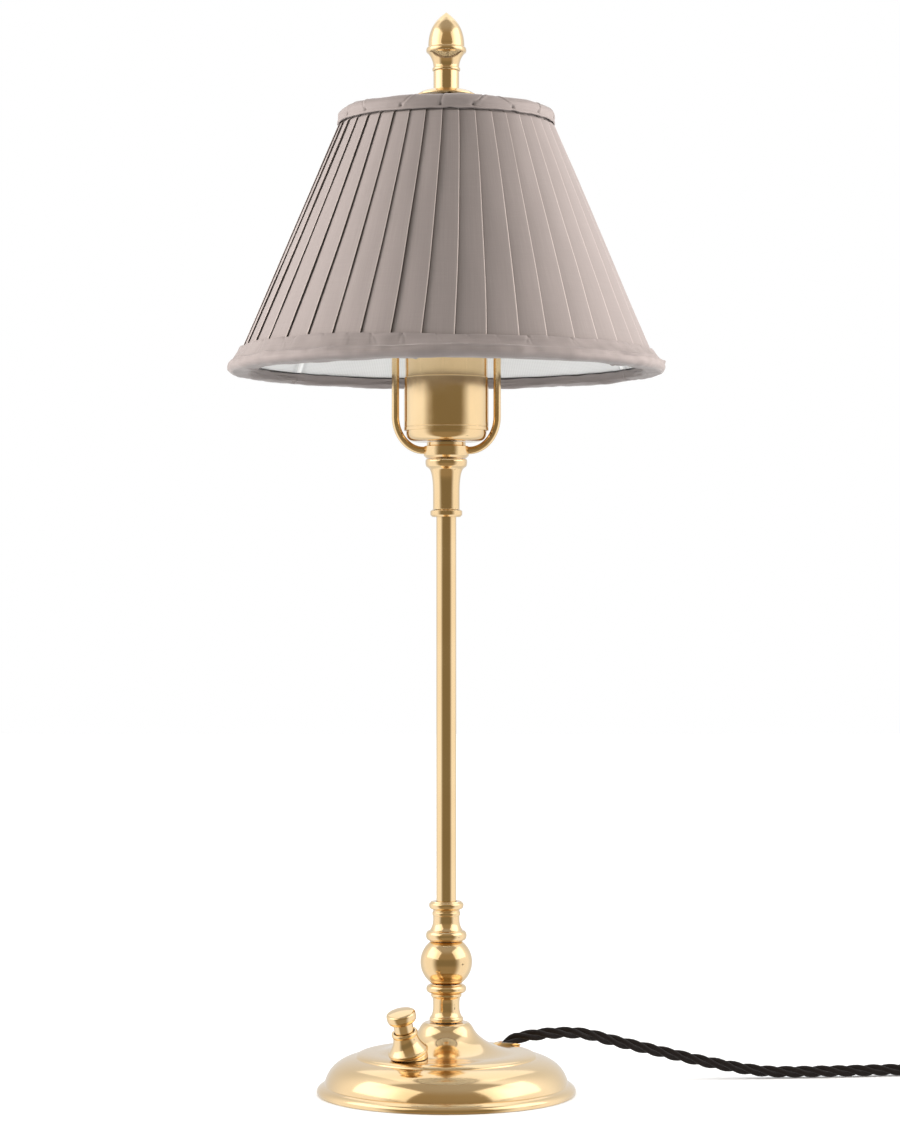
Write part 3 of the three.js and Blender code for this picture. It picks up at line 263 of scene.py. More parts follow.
def facing(spot, axis):
    # a place at a spot whose Z axis points along an axis
    return Matrix.Translation(spot) @ axis.to_track_quat("Z", "Y").to_matrix().to_4x4()


# Paint tools: a signal is what one socket gives, and sums of signals add their own nodes


class Signal:
    def __init__(self, nodes, socket):
        self.nodes = nodes
        self.socket = socket

    def maths(self, operation, *values):
        sockets = dict(enumerate(values))
        return self.nodes.node("Math", {"operation": operation}, sockets)

    def output(self, name):
        return Signal(self.nodes, self.socket.node.outputs[name])

    def __add__(self, other):
        return self.maths("ADD", self, other)

    __radd__ = __add__

    def __mul__(self, other):
        return self.maths("MULTIPLY", self, other)

    __rmul__ = __mul__

    def __sub__(self, other):
        return self.maths("SUBTRACT", self, other)

    def sine(self):
        return self.maths("SINE", self)

    def between(self, low, high):
        # 0 below low, 1 above high, and a soft step between them
        sockets = {"Value": self, "From Min": low, "From Max": high}
        return self.nodes.node("MapRange", {"interpolation_type": "SMOOTHSTEP"}, sockets)


class Nodes:
    def __init__(self, tree):
        self.tree = tree

    def node(self, kind, settings=None, sockets=None, out=0):
        added = self.tree.nodes.new("ShaderNode" + kind)
        for key, value in (settings or {}).items():
            setattr(added, key, value)
        for key, value in (sockets or {}).items():
            self.feed(added.inputs[key], value)
        return Signal(self, added.outputs[out])

    def feed(self, socket, value):
        if isinstance(value, Signal):
            self.tree.links.new(value.socket, socket)
        else:
            socket.default_value = value

    def clouds(self, vector, scale, detail):
        return self.node("TexNoise", {}, {"Vector": vector, "Scale": scale, "Detail": detail})

    def mixed(self, factor, first, second):
        return self.node("Mix", {"data_type": "RGBA"}, {0: factor, 6: first, 7: second}, out=2)

    def colours(self, factor, dark, light):
        return self.mixed(factor, (*dark, 1), (*light, 1))


class Finish(Nodes):
    def __init__(self, name, fixed):
        self.material = bpy.data.materials.new(name)
        self.material.use_nodes = True
        super().__init__(self.material.node_tree)
        self.shader = self.tree.nodes["Principled BSDF"]
        for key, value in fixed.items():
            self.give(key, value)

    def give(self, key, value):
        self.feed(self.shader.inputs[key], value)

    def spot(self):
        return self.node("TexCoord", out="Object")

    def uv(self):
        return self.node("TexCoord", out="UV")

    def stretched(self, vector, factors):
        return self.node("VectorMath", {"operation": "MULTIPLY"}, {0: vector, 1: factors})

    def crossed(self, across, along):
        # 0 to 1 where two sets of slanting threads cross
        return ((across + along).sine() * (across - along).sine()) * 0.5 + 0.5

    def marked(self, name):
        # a number that each corner of the mesh carries
        return self.node("Attribute", {"attribute_name": name}, out="Fac")

    def relief(self, height, depth, strength):
        # depth in mm between the signal's 0 and 1
        sockets = {"Strength": strength, "Distance": depth * mm, "Height": height}
        self.give("Normal", self.node("Bump", {}, sockets))


brassLook = {
    "warm": (0.73, 0.485, 0.22),
    "pale": (0.87, 0.65, 0.365),
    "gloss": (0.09, 0.16),
    "lines": 2600.0,  # turning marks to the metre
    "smudges": 55.0,
    "clouds": 22.0,
    "lacquer": (0.4, 0.08),  # weight and roughness
}


def turnedBrass(name, place=None):
    look = brassLook
    finish = Finish(name, {"Metallic": 1.0})
    spot = finish.spot()
    if place:
        where, turn, _ = place.decompose()
        sockets = {"Vector": spot, "Location": where, "Rotation": turn.to_euler()}
        spot = finish.node("Mapping", {"vector_type": "TEXTURE"}, sockets)
    flat = finish.stretched(spot, (1.0, 1.0, 0.0))
    radius = finish.node("VectorMath", {"operation": "LENGTH"}, {0: flat}, out="Value")
    height = finish.node("SeparateXYZ", {}, {0: spot}, out="Z")
    across = finish.node("CombineXYZ", {}, {0: radius, 1: height})
    lines = finish.clouds(across, look["lines"], 1.0)
    smudge = finish.clouds(spot, look["smudges"], 4.0).between(0.35, 0.75)
    cloud = finish.clouds(spot, look["clouds"], 2.0).between(0.3, 0.7)
    finish.give("Base Color", finish.colours(cloud * 0.35 + 0.65, look["warm"], look["pale"]))
    low, high = look["gloss"]
    finish.give("Roughness", low + (high - low) * smudge + 0.03 * lines)
    finish.relief(lines, 0.004, 0.35)
    finish.give("Coat Weight", look["lacquer"][0])
    finish.give("Coat Roughness", look["lacquer"][1])
    return finish.material


def grainedFinish(name, fixed, grain, tones, rough, relief=None):
    # one cloud of noise gives the tone, the gloss and, if it has one, the relief
    finish = Finish(name, fixed)
    cloud = finish.clouds(finish.spot(), *grain)
    finish.give("Base Color", finish.colours(cloud, *tones))
    finish.give("Roughness", rough[0] + rough[1] * cloud)
    if relief:
        finish.relief(cloud, *relief)
    return finish.material


def plainMetal(name, tones, rough):
    return grainedFinish(name, {"Metallic": 1.0}, (220.0, 4.0), tones, (rough, 0.12), (0.02, 0.3))


def castIron():
    tones = (0.03, 0.03, 0.032), (0.11, 0.11, 0.11)
    return grainedFinish("castIron", {"Metallic": 0.6}, (900.0, 5.0), tones, (0.65, 0.25), (0.25, 0.8))


def feltCloth():
    finish = Finish("feltCloth", {"Sheen Weight": 0.4, "Sheen Roughness": 0.6})
    spot = finish.spot()
    fibres = finish.clouds(spot, 2600.0, 6.0)
    tufts = finish.clouds(spot, 300.0, 3.0)
    pile = fibres * 0.6 + tufts * 0.4
    finish.give("Base Color", finish.colours(pile, (0.012, 0.014, 0.012), (0.05, 0.055, 0.048)))
    finish.give("Roughness", 0.85 + 0.15 * fibres)
    finish.relief(pile, 0.35, 0.9)
    return finish.material


clothLook = {
    "dark": (0.145, 0.128, 0.124),
    "light": (0.275, 0.242, 0.234),
    # the colour of the painted highlight along the fold edges
    "edge": (0.40, 0.355, 0.335),
    # the colour of the painted shade deep in the folds
    "pocketShade": (0.07, 0.058, 0.054),
    "thread": 0.34,  # mm
}


def shadeCloth():
    # plain weave with a few thicker threads, on the cloth's own UV map, which is in mm
    look = clothLook
    finish = Finish("shadeCloth", {"Sheen Weight": 0.18, "Sheen Roughness": 0.35})
    uv = finish.uv()
    across = finish.node("SeparateXYZ", {}, {0: uv})
    along = across.output("Y")
    turn = 2 * math.pi / look["thread"]
    warp = (across * turn).sine() * 0.5 + 0.5
    weft = (along * turn).sine() * 0.5 + 0.5
    slubs = finish.clouds(finish.stretched(uv, (2.2, 0.04, 1.0)), 1.0, 3.0).between(0.3, 0.8)
    cross = finish.clouds(finish.stretched(uv, (0.05, 2.0, 1.0)), 1.0, 3.0).between(0.35, 0.8)
    soft = finish.clouds(finish.stretched(uv, (0.03, 0.012, 1.0)), 1.0, 3.0)
    weave = warp * 0.5 + weft * 0.5
    # the "fold" mark carries painted light: painted shade under the folds and painted highlights on their
    # edges
    fold = finish.marked("fold")
    tone = weave * 0.16 + slubs * 0.12 + cross * 0.06 + soft * 0.3 + fold * 0.36
    plain = finish.colours(tone, look["dark"], look["light"])
    # paler along the folded edges, a painted highlight, and darker deep in the folds, a painted shade
    highlightedEdges = finish.mixed(fold.between(0.75, 1.25), plain, (*look["edge"], 1))
    finish.give("Base Color", finish.mixed((fold * -1).between(-0.2, 0.6), highlightedEdges, (*look["pocketShade"], 1)))
    finish.give("Roughness", 0.62 + 0.2 * weave)
    finish.relief(weave * 0.8 + slubs * 0.2, 0.05, 0.5)
    return finish.material


def liningCloth():
    meshSize = 1.5  # mm
    finish = Finish("liningCloth", {"Sheen Weight": 0.2, "Sheen Roughness": 0.3})
    uv = finish.uv()
    across = finish.node("SeparateXYZ", {}, {0: uv})
    turn = 2 * math.pi / meshSize
    mesh = finish.crossed(across * turn, across.output("Y") * turn)
    soft = finish.clouds(finish.stretched(uv, (0.05, 0.02, 1.0)), 1.0, 3.0)
    # the "fold" mark brings the seams' painted highlight and the painted shadow beside them
    tone = mesh * 0.3 + soft * 0.15 + finish.marked("fold") * 0.62
    finish.give("Base Color", finish.colours(tone, (0.36, 0.375, 0.385), (0.95, 0.97, 0.98)))
    finish.give("Roughness", 0.45 + 0.25 * mesh)
    finish.relief(mesh, 0.08, 0.6)
    return finish.material


def braidedCord():
    # fine diagonal braid on each strand: u runs round it once, v is its length in mm
    finish = Finish("braidedCord", {"Sheen Weight": 0.06, "Sheen Roughness": 0.4, "Specular IOR Level": 0.3})
    threads, lay = 8, 4.6  # round the strand, and radians to the millimetre
    around = finish.node("SeparateXYZ", {}, {0: finish.uv()})
    braid = finish.crossed(around * (2 * math.pi * threads), around.output("Y") * lay)
    worn = finish.clouds(finish.spot(), 180.0, 3.0)
    tone = braid * 0.6 + worn * 0.4
    finish.give("Base Color", finish.colours(tone, (0.004, 0.0025, 0.0022), (0.020, 0.012, 0.010)))
    finish.give("Roughness", 0.62 + 0.25 * braid)
    finish.relief(braid, 0.16, 0.8)
    return finish.material


def mouldedBlack():
    fixed = {"Specular IOR Level": 0.45}
    tones = (0.010, 0.010, 0.010), (0.026, 0.025, 0.025)
    return grainedFinish("mouldedBlack", fixed, (1800.0, 3.0), tones, (0.36, 0.16), (0.03, 0.5))


def opalGlass():
    fixed = {"Coat Weight": 0.6, "Coat Roughness": 0.03}
    tones = (0.86, 0.85, 0.81), (0.95, 0.94, 0.91)
    return grainedFinish("opalGlass", fixed, (60.0, 2.0), tones, (0.2, 0.08))


def glazedWhite():
    fixed = {"Coat Weight": 0.5, "Coat Roughness": 0.1}
    tones = (0.72, 0.70, 0.65), (0.86, 0.84, 0.80)
    return grainedFinish("glazedWhite", fixed, (90.0, 3.0), tones, (0.3, 0.1))


brass = turnedBrass("turnedBrass")
steel = plainMetal("platedSteel", ((0.34, 0.33, 0.31), (0.56, 0.55, 0.52)), 0.3)
nickel = plainMetal("nickelPlate", ((0.52, 0.50, 0.46), (0.70, 0.68, 0.63)), 0.16)
iron = castIron()
felt = feltCloth()
cloth = shadeCloth()
liner = liningCloth()
braid = braidedCord()
black = mouldedBlack()
opal = opalGlass()
white = glazedWhite()


def dress(piece, material, body, slot, *nodes, smooth=True):
    piece.data.materials.clear()
    piece.data.materials.append(material)
    if smooth:
        shadeSmooth(piece)
    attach(piece, body)
    if nodes:
        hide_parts(*nodes)
    return piece


def turnInBrass(name, points, node, facets=96, edge=0.15, place=None, material=brass, body="stand", cuts=()):
    piece = turnOnLathe(name, points, facets)
    if place:
        putInPlace(piece, place)
    for cutter in cuts:
        carve(piece, cutter)
    softenEdges(piece, edge)
    return dress(piece, material, body, "brass", node)


print("finishes mixed")

# Cord: three braided strands laid round each other, from the base to the plug, in metres

cordRoute = {
    "radius": 0.0031,
    "strands": 3,
    "pitch": 0.0275,  # one full turn of the strands
    "step": 0.0021,
    "sides": 10,
    "exitTurn": 13,
    "exitRise": 32,
    "inside": 0.0055,
    "straight": 0.005,
    "lead": [
        (0.042, 0.0264, 0.0248), (0.049, 0.0279, 0.0255), (0.056, 0.030, 0.0257),
        (0.064, 0.0325, 0.0255), (0.072, 0.035, 0.0243), (0.080, 0.037, 0.0222),
        (0.090, 0.039, 0.0194), (0.098, 0.0405, 0.0174), (0.107, 0.042, 0.0151),
        (0.120, 0.0438, 0.0119), (0.133, 0.045, 0.0089), (0.146, 0.0458, 0.0063),
        (0.158, 0.0464, 0.0043), (0.170, 0.047, 0.0033), (0.185, 0.0482, 0.00315),
        (0.200, 0.050, 0.00315), (0.220, 0.053, 0.00315), (0.240, 0.0558, 0.00315),
        (0.260, 0.0573, 0.00315),
    ],
    "rest": 0.00315,
    "coilCentre": (0.283, 0.010),
    "coilRadius": 0.0475,
    "coilTurns": 6.25,
    "coilStep": 0.0068,
    "coilPoints": 40,  # to the turn
    "tailLength": 0.038,
    "tailGap": 0.0065,
    "plugRest": 0.0181,
}

baseShell = {
    # from lip to neck: radius, then height above the foot of the lip
    "lip": (64.5, 0),
    "crease": (61.0, 4.6),
    "notch": (45.5, 18.2),
    "shoulder": (35.5, 20.7),
    "neck": (13.3, 32.7),
    "top": (10.6, 35.3),
    "neckThickness": 2.2,
    "wall": 1.0,
    "bore": 5.3,
    "facets": 160,
}


def shellProfile():
    look = baseShell
    foot = heights("base_shell")[0]
    outline = Profile(look["lip"][0], foot)
    stretches = [
        ("crease", [(65.6, 2.9)], 10),
        ("notch", [(59.4, 12.4), (54.2, 16.4)], 24),
        ("shoulder", [(44.6, 20.5)], 18),
        ("neck", [(27.0, 20.9), (16.4, 26.2)], 32),
        ("top", [(11.9, 35.1)], 8),
    ]
    for name, pulls, steps in stretches:
        r, rise = look[name]
        outline.curve(r, foot + rise, [(x, foot + z) for x, z in pulls], steps)
    return outline


def shellHeightAt(radius):
    points = shellProfile().points
    for (r0, z0), (r1, z1) in zip(points, points[1:]):
        if r1 <= radius < r0:
            return z0 + (r0 - radius) / (r0 - r1) * (z1 - z0)


outlet = {
    "radius": 39.6,
    "turn": 38,
    "lift": 0.3,
    "wall": 0.8,
    "bore": 3.5,
    "proud": 1.1,
    "inside": 9,
}

outletSpot = outwards(outlet["radius"], outlet["turn"], shellHeightAt(outlet["radius"]) + outlet["lift"]) * mm
exitRise = math.radians(cordRoute["exitRise"])
exitAxis = outwards(math.cos(exitRise), cordRoute["exitTurn"], math.sin(exitRise))


def smoothThrough(points, steps=10):
    # a smooth line through given points
    line = []
    last = len(points) - 1
    for i in range(last):
        p0, p1, p2, p3 = (points[min(max(i + k, 0), last)] for k in (-1, 0, 1, 2))
        for k in range(steps):
            t = k / steps
            spot = 2 * p1 + (p2 - p0) * t + (2 * p0 - 5 * p1 + 4 * p2 - p3) * t**2
            line.append(0.5 * (spot + (3 * p1 - 3 * p2 + p3 - p0) * t**3))
    return line + [points[-1]]


def coilLine():
    # it spirals in on the table, climbs one layer where it turns back, and spirals out on top
    route = cordRoute
    centre = Vector((*route["coilCentre"], 0))
    half = route["coilTurns"] / 2
    steps = round(route["coilTurns"] * route["coilPoints"])
    line = []
    for i in range(steps + 1):
        turn = route["coilTurns"] * i / steps
        wound = half - abs(turn - half)
        climb = clamped((turn - half) / 0.5 + 0.5)
        climb = climb * climb * (3 - 2 * climb)
        z = route["rest"] + route["coilStep"] * climb
        line.append(centre + outwards(route["coilRadius"] - route["coilStep"] * wound, 90 - 360 * turn, z))
    return line


def cordLine():
    route = cordRoute
    lead = [outletSpot + exitAxis * reach for reach in (-route["inside"], 0, route["straight"])]
    lead += [Vector(place) for place in route["lead"]]
    x, y = route["coilCentre"]
    straight = 2 * route["radius"] + 0.0003
    lead.append(Vector((x - straight, y + route["coilRadius"], route["rest"])))
    high = route["rest"] + route["coilStep"]
    side = x + route["coilRadius"]
    start = y - route["tailGap"]
    rest = route["plugRest"]
    middle = (high + rest) / 2
    tail = [
        Vector((side, start - share * route["tailLength"], z))
        for share, z in ((0, high), (0.2, high + 0.0002), (0.5, middle), (0.8, rest - 0.0002), (1, rest))
    ]
    return smoothThrough(lead) + coilLine() + smoothThrough(tail)


def evenly(line, step):
    # the same line, with its points one step apart
    reach = [0.0]
    for a, b in zip(line, line[1:]):
        reach.append(reach[-1] + (b - a).length)
    count = round(reach[-1] / step)
    spaced = []
    i = 0
    for k in range(count + 1):
        goal = reach[-1] * k / count
        while i < len(line) - 2 and reach[i + 1] < goal:
            i += 1
        share = (goal - reach[i]) / max(reach[i + 1] - reach[i], 1e-9)
        spaced.append(line[i].lerp(line[i + 1], min(share, 1)))
    return spaced, reach[-1]


def framesAlong(line, across):
    # at each point, two directions square to the line that don't twist about it
    last = len(line) - 1
    for i, point in enumerate(line):
        along = (line[min(i + 1, last)] - line[max(i - 1, 0)]).normalized()
        across = (across - along * across.dot(along)).normalized()
        yield point, across, along.cross(across)


def besideLine(point, across, third, angle, reach):
    return point + (across * math.cos(angle) + third * math.sin(angle)) * reach


def layCord():
    route = cordRoute
    line, length = evenly(cordLine(), route["step"])
    # three strands that touch each other fill the cord's circle
    strandRadius = route["radius"] / (1 + 2 / math.sqrt(3))
    offset = route["radius"] - strandRadius
    sides = route["sides"]
    mesh = bmesh.new()
    uvs = mesh.loops.layers.uv.new("UVMap")
    for strand in range(route["strands"]):
        middle = []
        for i, axes in enumerate(framesAlong(line, Vector((0, 0, 1)))):
            turns = i * length / (len(line) - 1) / route["pitch"] + strand / route["strands"]
            middle.append(besideLine(*axes, 2 * math.pi * turns, offset))
        rings = []
        for axes in framesAlong(middle, Vector((0, 1, 0))):
            spots = [besideLine(*axes, 2 * math.pi * k / sides, strandRadius) for k in range(sides)]
            rings.append([mesh.verts.new(spot) for spot in spots])
        for i, (low, high) in enumerate(zip(rings, rings[1:])):
            for k in range(sides):
                after = (k + 1) % sides
                face = mesh.faces.new((low[k], low[after], high[after], high[k]))
                corners = ((k, i), (k + 1, i), (k + 1, i + 1), (k, i + 1))
                for loop, (u, v) in zip(face.loops, corners):
                    loop[uvs].uv = (u / sides, v * route["step"] / mm)
        mesh.faces.new(rings[0][::-1])
        mesh.faces.new(rings[-1])
    data = bpy.data.meshes.new("flex_cord")
    mesh.to_mesh(data)
    mesh.free()
    cord = bpy.data.objects.new("flex_cord", data)
    bpy.context.collection.objects.link(cord)
    for face in data.polygons:
        face.use_smooth = True
    dress(cord, braid, "stand", "cord", "cord_lead", "cord_coil", "cord_tail", smooth=False)
    # kept out of the brass, which mirrors no cord in the photograph
    cord.visible_glossy = False
    return cord, line, length


flexCord, cordPath, cordLength = layCord()
print("cord laid, metres:", round(cordLength, 3))

# Plug at the end of the cord, modelled on its own axis from the sleeve to the pins

plug = {
    "sleeve": 26,
    "sleeveRings": 3,
    "sleeveEnd": 6.6,
    "sleeveStart": 4.7,
    "grip": 27,
    "gripRadius": 12.5,
    "face": 10,
    "radius": 18,
    "pinRadius": 2.4,
    "pinLength": 19,
    "pinSpacing": 19,
    "pinSunk": 4,
    "stripWidth": 5,
    "stripDepth": 3,
}


def makePlug():
    look = plug
    near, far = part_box("plug_relief")
    start = Vector(((near.x + far.x) / 2, far.y, cordRoute["plugRest"]))
    place = Matrix.Translation(start) @ Matrix.Rotation(math.pi / 2, 4, "X")
    pitch = look["sleeve"] / look["sleeveRings"]
    sleeve = Profile(4.1, 0)
    for i in range(look["sleeveRings"]):
        share = i / (look["sleeveRings"] - 1)
        radius = look["sleeveStart"] + (look["sleeveEnd"] - look["sleeveStart"]) * share
        foot = i * pitch
        sleeve.curve(radius, foot + 1.2, [(radius, foot + 0.2)], 4)
        sleeve.line(radius, foot + pitch - 2.2)
        sleeve.curve(radius - 0.1, foot + pitch - 0.2, [(radius - 1.6, foot + pitch - 1.2)], 6)
    relief = turnOnLathe("plug_relief_sleeve", sleeve.solid(), 48)
    putInPlace(relief, place)
    foot = look["sleeve"] + clearance
    face = foot + look["grip"]
    top = face + look["face"]
    pulls = [(1.04 * look["gripRadius"], foot + 6), (0.88 * look["gripRadius"], face - 4)]
    body = (
        Profile(look["sleeveEnd"] + 0.6, foot)
        .curve(look["sleeveEnd"] + 1.2, foot + 0.6, [(look["sleeveEnd"] + 1.2, foot)], 4)
        .curve(look["gripRadius"], face - 5, pulls, 18)
        .curve(0.96 * look["radius"], face, [(0.75 * look["radius"], face - 2.5)], 8)
        .curve(look["radius"], face + 0.8, [(look["radius"], face)], 4)
        .line(look["radius"], top - 0.8)
        .curve(look["radius"] - 0.8, top, [(look["radius"], top)], 4)
    )
    shell = turnOnLathe("plug_moulding", body.solid(), 84)
    middle = (face + top) / 2
    notch = 2 * look["pinRadius"]
    strip = (look["stripWidth"] + 2 * clearance, look["stripDepth"], look["face"])
    holeRadius, holeFoot = look["pinRadius"] + clearance, top - look["pinSunk"] - clearance
    for side in (-1, 1):
        hole = shift(side * look["pinSpacing"] / 2)
        carve(shell, drill(holeRadius, holeFoot, top + 1, hole, 32))
        edge = side * look["radius"]
        carve(shell, block((notch, notch, look["face"] + 2), shift(edge, 0, middle)))
        carve(shell, block(strip, shift(0, edge, middle + 1)))
    softenEdges(shell, 0.25)
    putInPlace(shell, place)
    tip = top + look["pinLength"]
    radius = look["pinRadius"]
    outline = Profile(radius, top - look["pinSunk"]).line(radius, tip - 2.4)
    outline.curve(radius - 1.1, tip, [(radius, tip - 0.2)], 6)
    pins = []
    for number, side in (1, 1), (2, -1):
        pin = turnOnLathe("plug_pin_turned_%d" % number, outline.solid(), 32)
        putInPlace(pin, place @ shift(side * look["pinSpacing"] / 2))
        pins.append(dress(pin, nickel, "stand", "nickel", "plug_pin_%d" % number))
    dress(relief, black, "stand", "plug", "plug_relief")
    dress(shell, black, "stand", "plug", "plug_body")
    return [relief, shell, *pins]


plugPieces = makePlug()
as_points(cordPath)
print("plug made")

# Base

switch = {
    "radius": 31.5,  # from the stem's axis
    "turn": -125,
    "bush": 6.6,
    "ring": 9.2,
    "ringHeight": 2.6,
    "ringDepth": 6,
    "bell": 9.9,
    "bellHeight": 11.4,
    "mouth": 6.5,
    "stem": 4.8,
    "stemDepth": 5.4,
    "headFoot": 19,
    "head": 7.3,
    "headHeight": 6.2,
}

travel = next(joint for joint in frame["joints"] if joint["name"] == "switch_press")
switchSpot = outwards(switch["radius"], switch["turn"], shellHeightAt(switch["radius"])) * mm
switchPlace = facing(switchSpot, Vector(travel["axis"]))


def makeBase():
    shell = baseShell
    outer = shellProfile()
    top = outer.points[-1][1]
    ceiling = top - shell["neckThickness"]
    under = [point for point in outer.inset(shell["wall"]) if point[1] < ceiling - 1][::-1]
    ring = [
        *outer.points,
        (shell["bore"], top),
        (shell["bore"], ceiling),
        (under[0][0], ceiling),
        *under,
        outer.points[0],
    ]
    bore = outlet["bore"] + outlet["wall"] + clearance
    holes = [
        drill(switch["bush"] + clearance, -8, 8, switchPlace, 64),
        drill(bore, -outlet["inside"] - 3, 20, facing(outletSpot, exitAxis), 64),
    ]
    turnInBrass("spun_base", ring, "base_shell", shell["facets"], 0.18, cuts=holes)
    low, high = heights("felt_pad")
    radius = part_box("felt_pad")[1].x / mm
    pad = Profile(radius - 0.5, low).curve(radius, low + 0.5, [(radius, low)], 4)
    pad.line(radius, high - 0.4).line(radius - 0.4, high)
    dress(turnOnLathe("felt_foot", pad.solid(), 120), felt, "stand", "felt", "felt_pad")


def formUnder(gap):
    # all that lies under the shell's face moved out by a gap
    points = shellProfile().inset(-gap)
    ring = [(0, 0), (points[0][0], 0), *points, (0, points[-1][1])]
    return turnOnLathe("form", ring, baseShell["facets"])


makeBase()

# The bell-shaped push switch, on its own leaning axis


def makeSwitch():
    look = switch
    material = turnedBrass("turnedBrassLeaning", switchPlace)
    ring = Profile(look["ring"], -look["ringDepth"]).line(look["ring"], look["ringHeight"] - 0.9)
    ring.curve(look["ring"] - 0.9, look["ringHeight"], [(look["ring"], look["ringHeight"])], 6)
    wide = look["bush"] + clearance
    under = [formUnder(clearance)]
    leaning = (0.12, switchPlace, material)
    turnInBrass("switch_seat_ring", ring.solid(wide), "switch_ring", 72, *leaning, cuts=under)
    foot = look["ringHeight"] + clearance
    top = foot + look["bellHeight"]
    mouth = look["mouth"]
    tall = look["bellHeight"]
    pulls = [(0.81 * look["bell"], foot + 0.3 * tall), (0.94 * mouth, foot + 0.49 * tall)]
    bell = (
        Profile(look["bell"] - 0.6, foot)
        .curve(look["bell"], foot + 0.7, [(look["bell"], foot)], 5)
        .line(look["bell"], foot + 1.2)
        .curve(look["bell"] - 0.4, foot + 1.6, [(look["bell"], foot + 1.6)], 4)
        .curve(0.93 * mouth, top - 2, pulls, 18)
        .bead(2, 0.07 * mouth)
    )
    ring = bell.points + [
        (look["stem"] + 0.4, top),
        (look["stem"] + 0.4, foot + 2.8),
        (wide, foot + 2.8),
        (wide, foot),
        bell.points[0],
    ]
    turnInBrass("switch_bell", ring, "switch_collar", 84, *leaning)
    foot = look["headFoot"]
    rise = look["headHeight"]
    rim = look["head"]
    head = (
        Profile(look["stem"], -look["stemDepth"])
        .line(look["stem"], foot)
        .line(0.8 * rim, foot + 0.02 * rise)
        .curve(rim, foot + 0.45 * rise, [(0.97 * rim, foot + 0.1 * rise)], 10)
        .line(rim, foot + 0.66 * rise)
        .curve(0.82 * rim, foot + 0.9 * rise, [(rim, foot + 0.86 * rise)], 8)
        .curve(0, foot + rise, [(0.4 * rim, foot + rise)], 10)
    )
    button = [(0, -look["stemDepth"]), *head.points]
    turnInBrass("switch_push_head", button, "switch_button", 72, *leaning, "button")


makeSwitch()


def makeOutlet():
    look = outlet
    place = facing(outletSpot, exitAxis)
    radius = look["bore"] + look["wall"]
    tube = [(look["bore"], -look["inside"]), (radius, -look["inside"]), (radius, 12), (look["bore"], 12)]
    piece = turnOnLathe("cord_outlet_ferrule", tube + tube[:1], 72)
    putInPlace(piece, place)
    carve(piece, formUnder(look["proud"]), "INTERSECT")
    softenEdges(piece, 0.25, 3)
    dress(piece, turnedBrass("turnedBrassOutlet", place), "stand", "brass", "cord_outlet")


makeOutlet()
print("base made")

# Stem, turned from foot to coupler; the heights in an outline count from the foot of its piece

stem = {
    "bore": 5.3,
    "waist": 6.65,
    "lower": 8.5,  # widest of the lower beads' necks
    "ball": 13,
    "tube": 5,
    "tubeBore": 3.8,
    "bead": 8.28,  # neck of the two large beads
    "couplerNeck": 8.45,
}


def makeStem():
    look = stem
    low, high = heights("lower_spindle")
    waist = look["waist"]
    lower = (
        Profile(0.95 * look["lower"], low)
        .bead(2.4, 0.06 * look["lower"], 0.93 * look["lower"])
        .curve(waist, low + 7.5, [(waist, low + 4.2)], 12)
        .line(waist, low + 9.2)
        .curve(waist * 1.08, low + 12.2, [(waist, low + 11)], 6)
        .bead(1.9, 0.55, waist * 1.08)
        .line(8.3, low + 14.3)
        .bead(4.1, 1.76)
        .line(look["bead"], high)
    )
    turnInBrass("spindle_below", lower.solid(look["bore"]), "lower_spindle")
    low, high = heights("ball_knop")
    centre = (low + high) / 2 + 0.15
    steps = 40
    levels = [low + (high - low) * i / steps for i in range(steps + 1)]
    radii = [math.sqrt(look["ball"] ** 2 - (z - centre) ** 2) for z in levels]
    ball = Profile(radii[0], levels[0])
    for radius, z in zip(radii[1:], levels[1:]):
        ball.line(radius, z)
    turnInBrass("stem_ball", ball.solid(look["bore"]), "ball_knop", 120)
    low, high = heights("upper_spindle")
    upper = (
        Profile(look["bead"], low)
        .bead(5.2, 1.97)
        .curve(waist, low + 10.4, [(waist, low + 7.6)], 12)
        .line(waist, low + 12.4)
        .bead(2.2, 0.37)
        .lines((waist, low + 15.3), (7.61, low + 15.9))
        .bead(3.2, 0.95, 7.87)
        .line(7.61, high)
    )
    turnInBrass("spindle_above", upper.solid(look["bore"]), "upper_spindle")
    low, high = heights("stem_tube")
    tube = Profile(look["tube"], low).line(look["tube"], high)
    piece = turnOnLathe("stem_pipe", tube.solid(look["tubeBore"]), 96)
    dress(piece, brass, "stand", "brass", "stem_tube")
    low, high = heights("stem_coupler")
    coupler = (
        Profile(7.04, low)
        .lines((8, low + 1), (8, low + 3), (waist, low + 3.9), (waist, low + 12))
        .curve(look["couplerNeck"], low + 24, [(waist, low + 21.4)], 16)
        .line(9.55, low + 24.9)
        .bead(high - low - 24.9, 0.74, 9.87)
    )
    turnInBrass("stem_cup", coupler.solid(look["bore"]), "stem_coupler")


makeStem()
print("stem turned")

# Harp and lampholder

harp = {
    "wire": 1.9,
    "halfWidth": 25.4,
    "bendRun": 14,
    "bendRise": 17,
    "foot": 321.3,
    "inside": 7.1,
    "hub": 11.3,
    "hubNeck": 9.75,
    "stud": 3,
    "studCollar": 5,
}


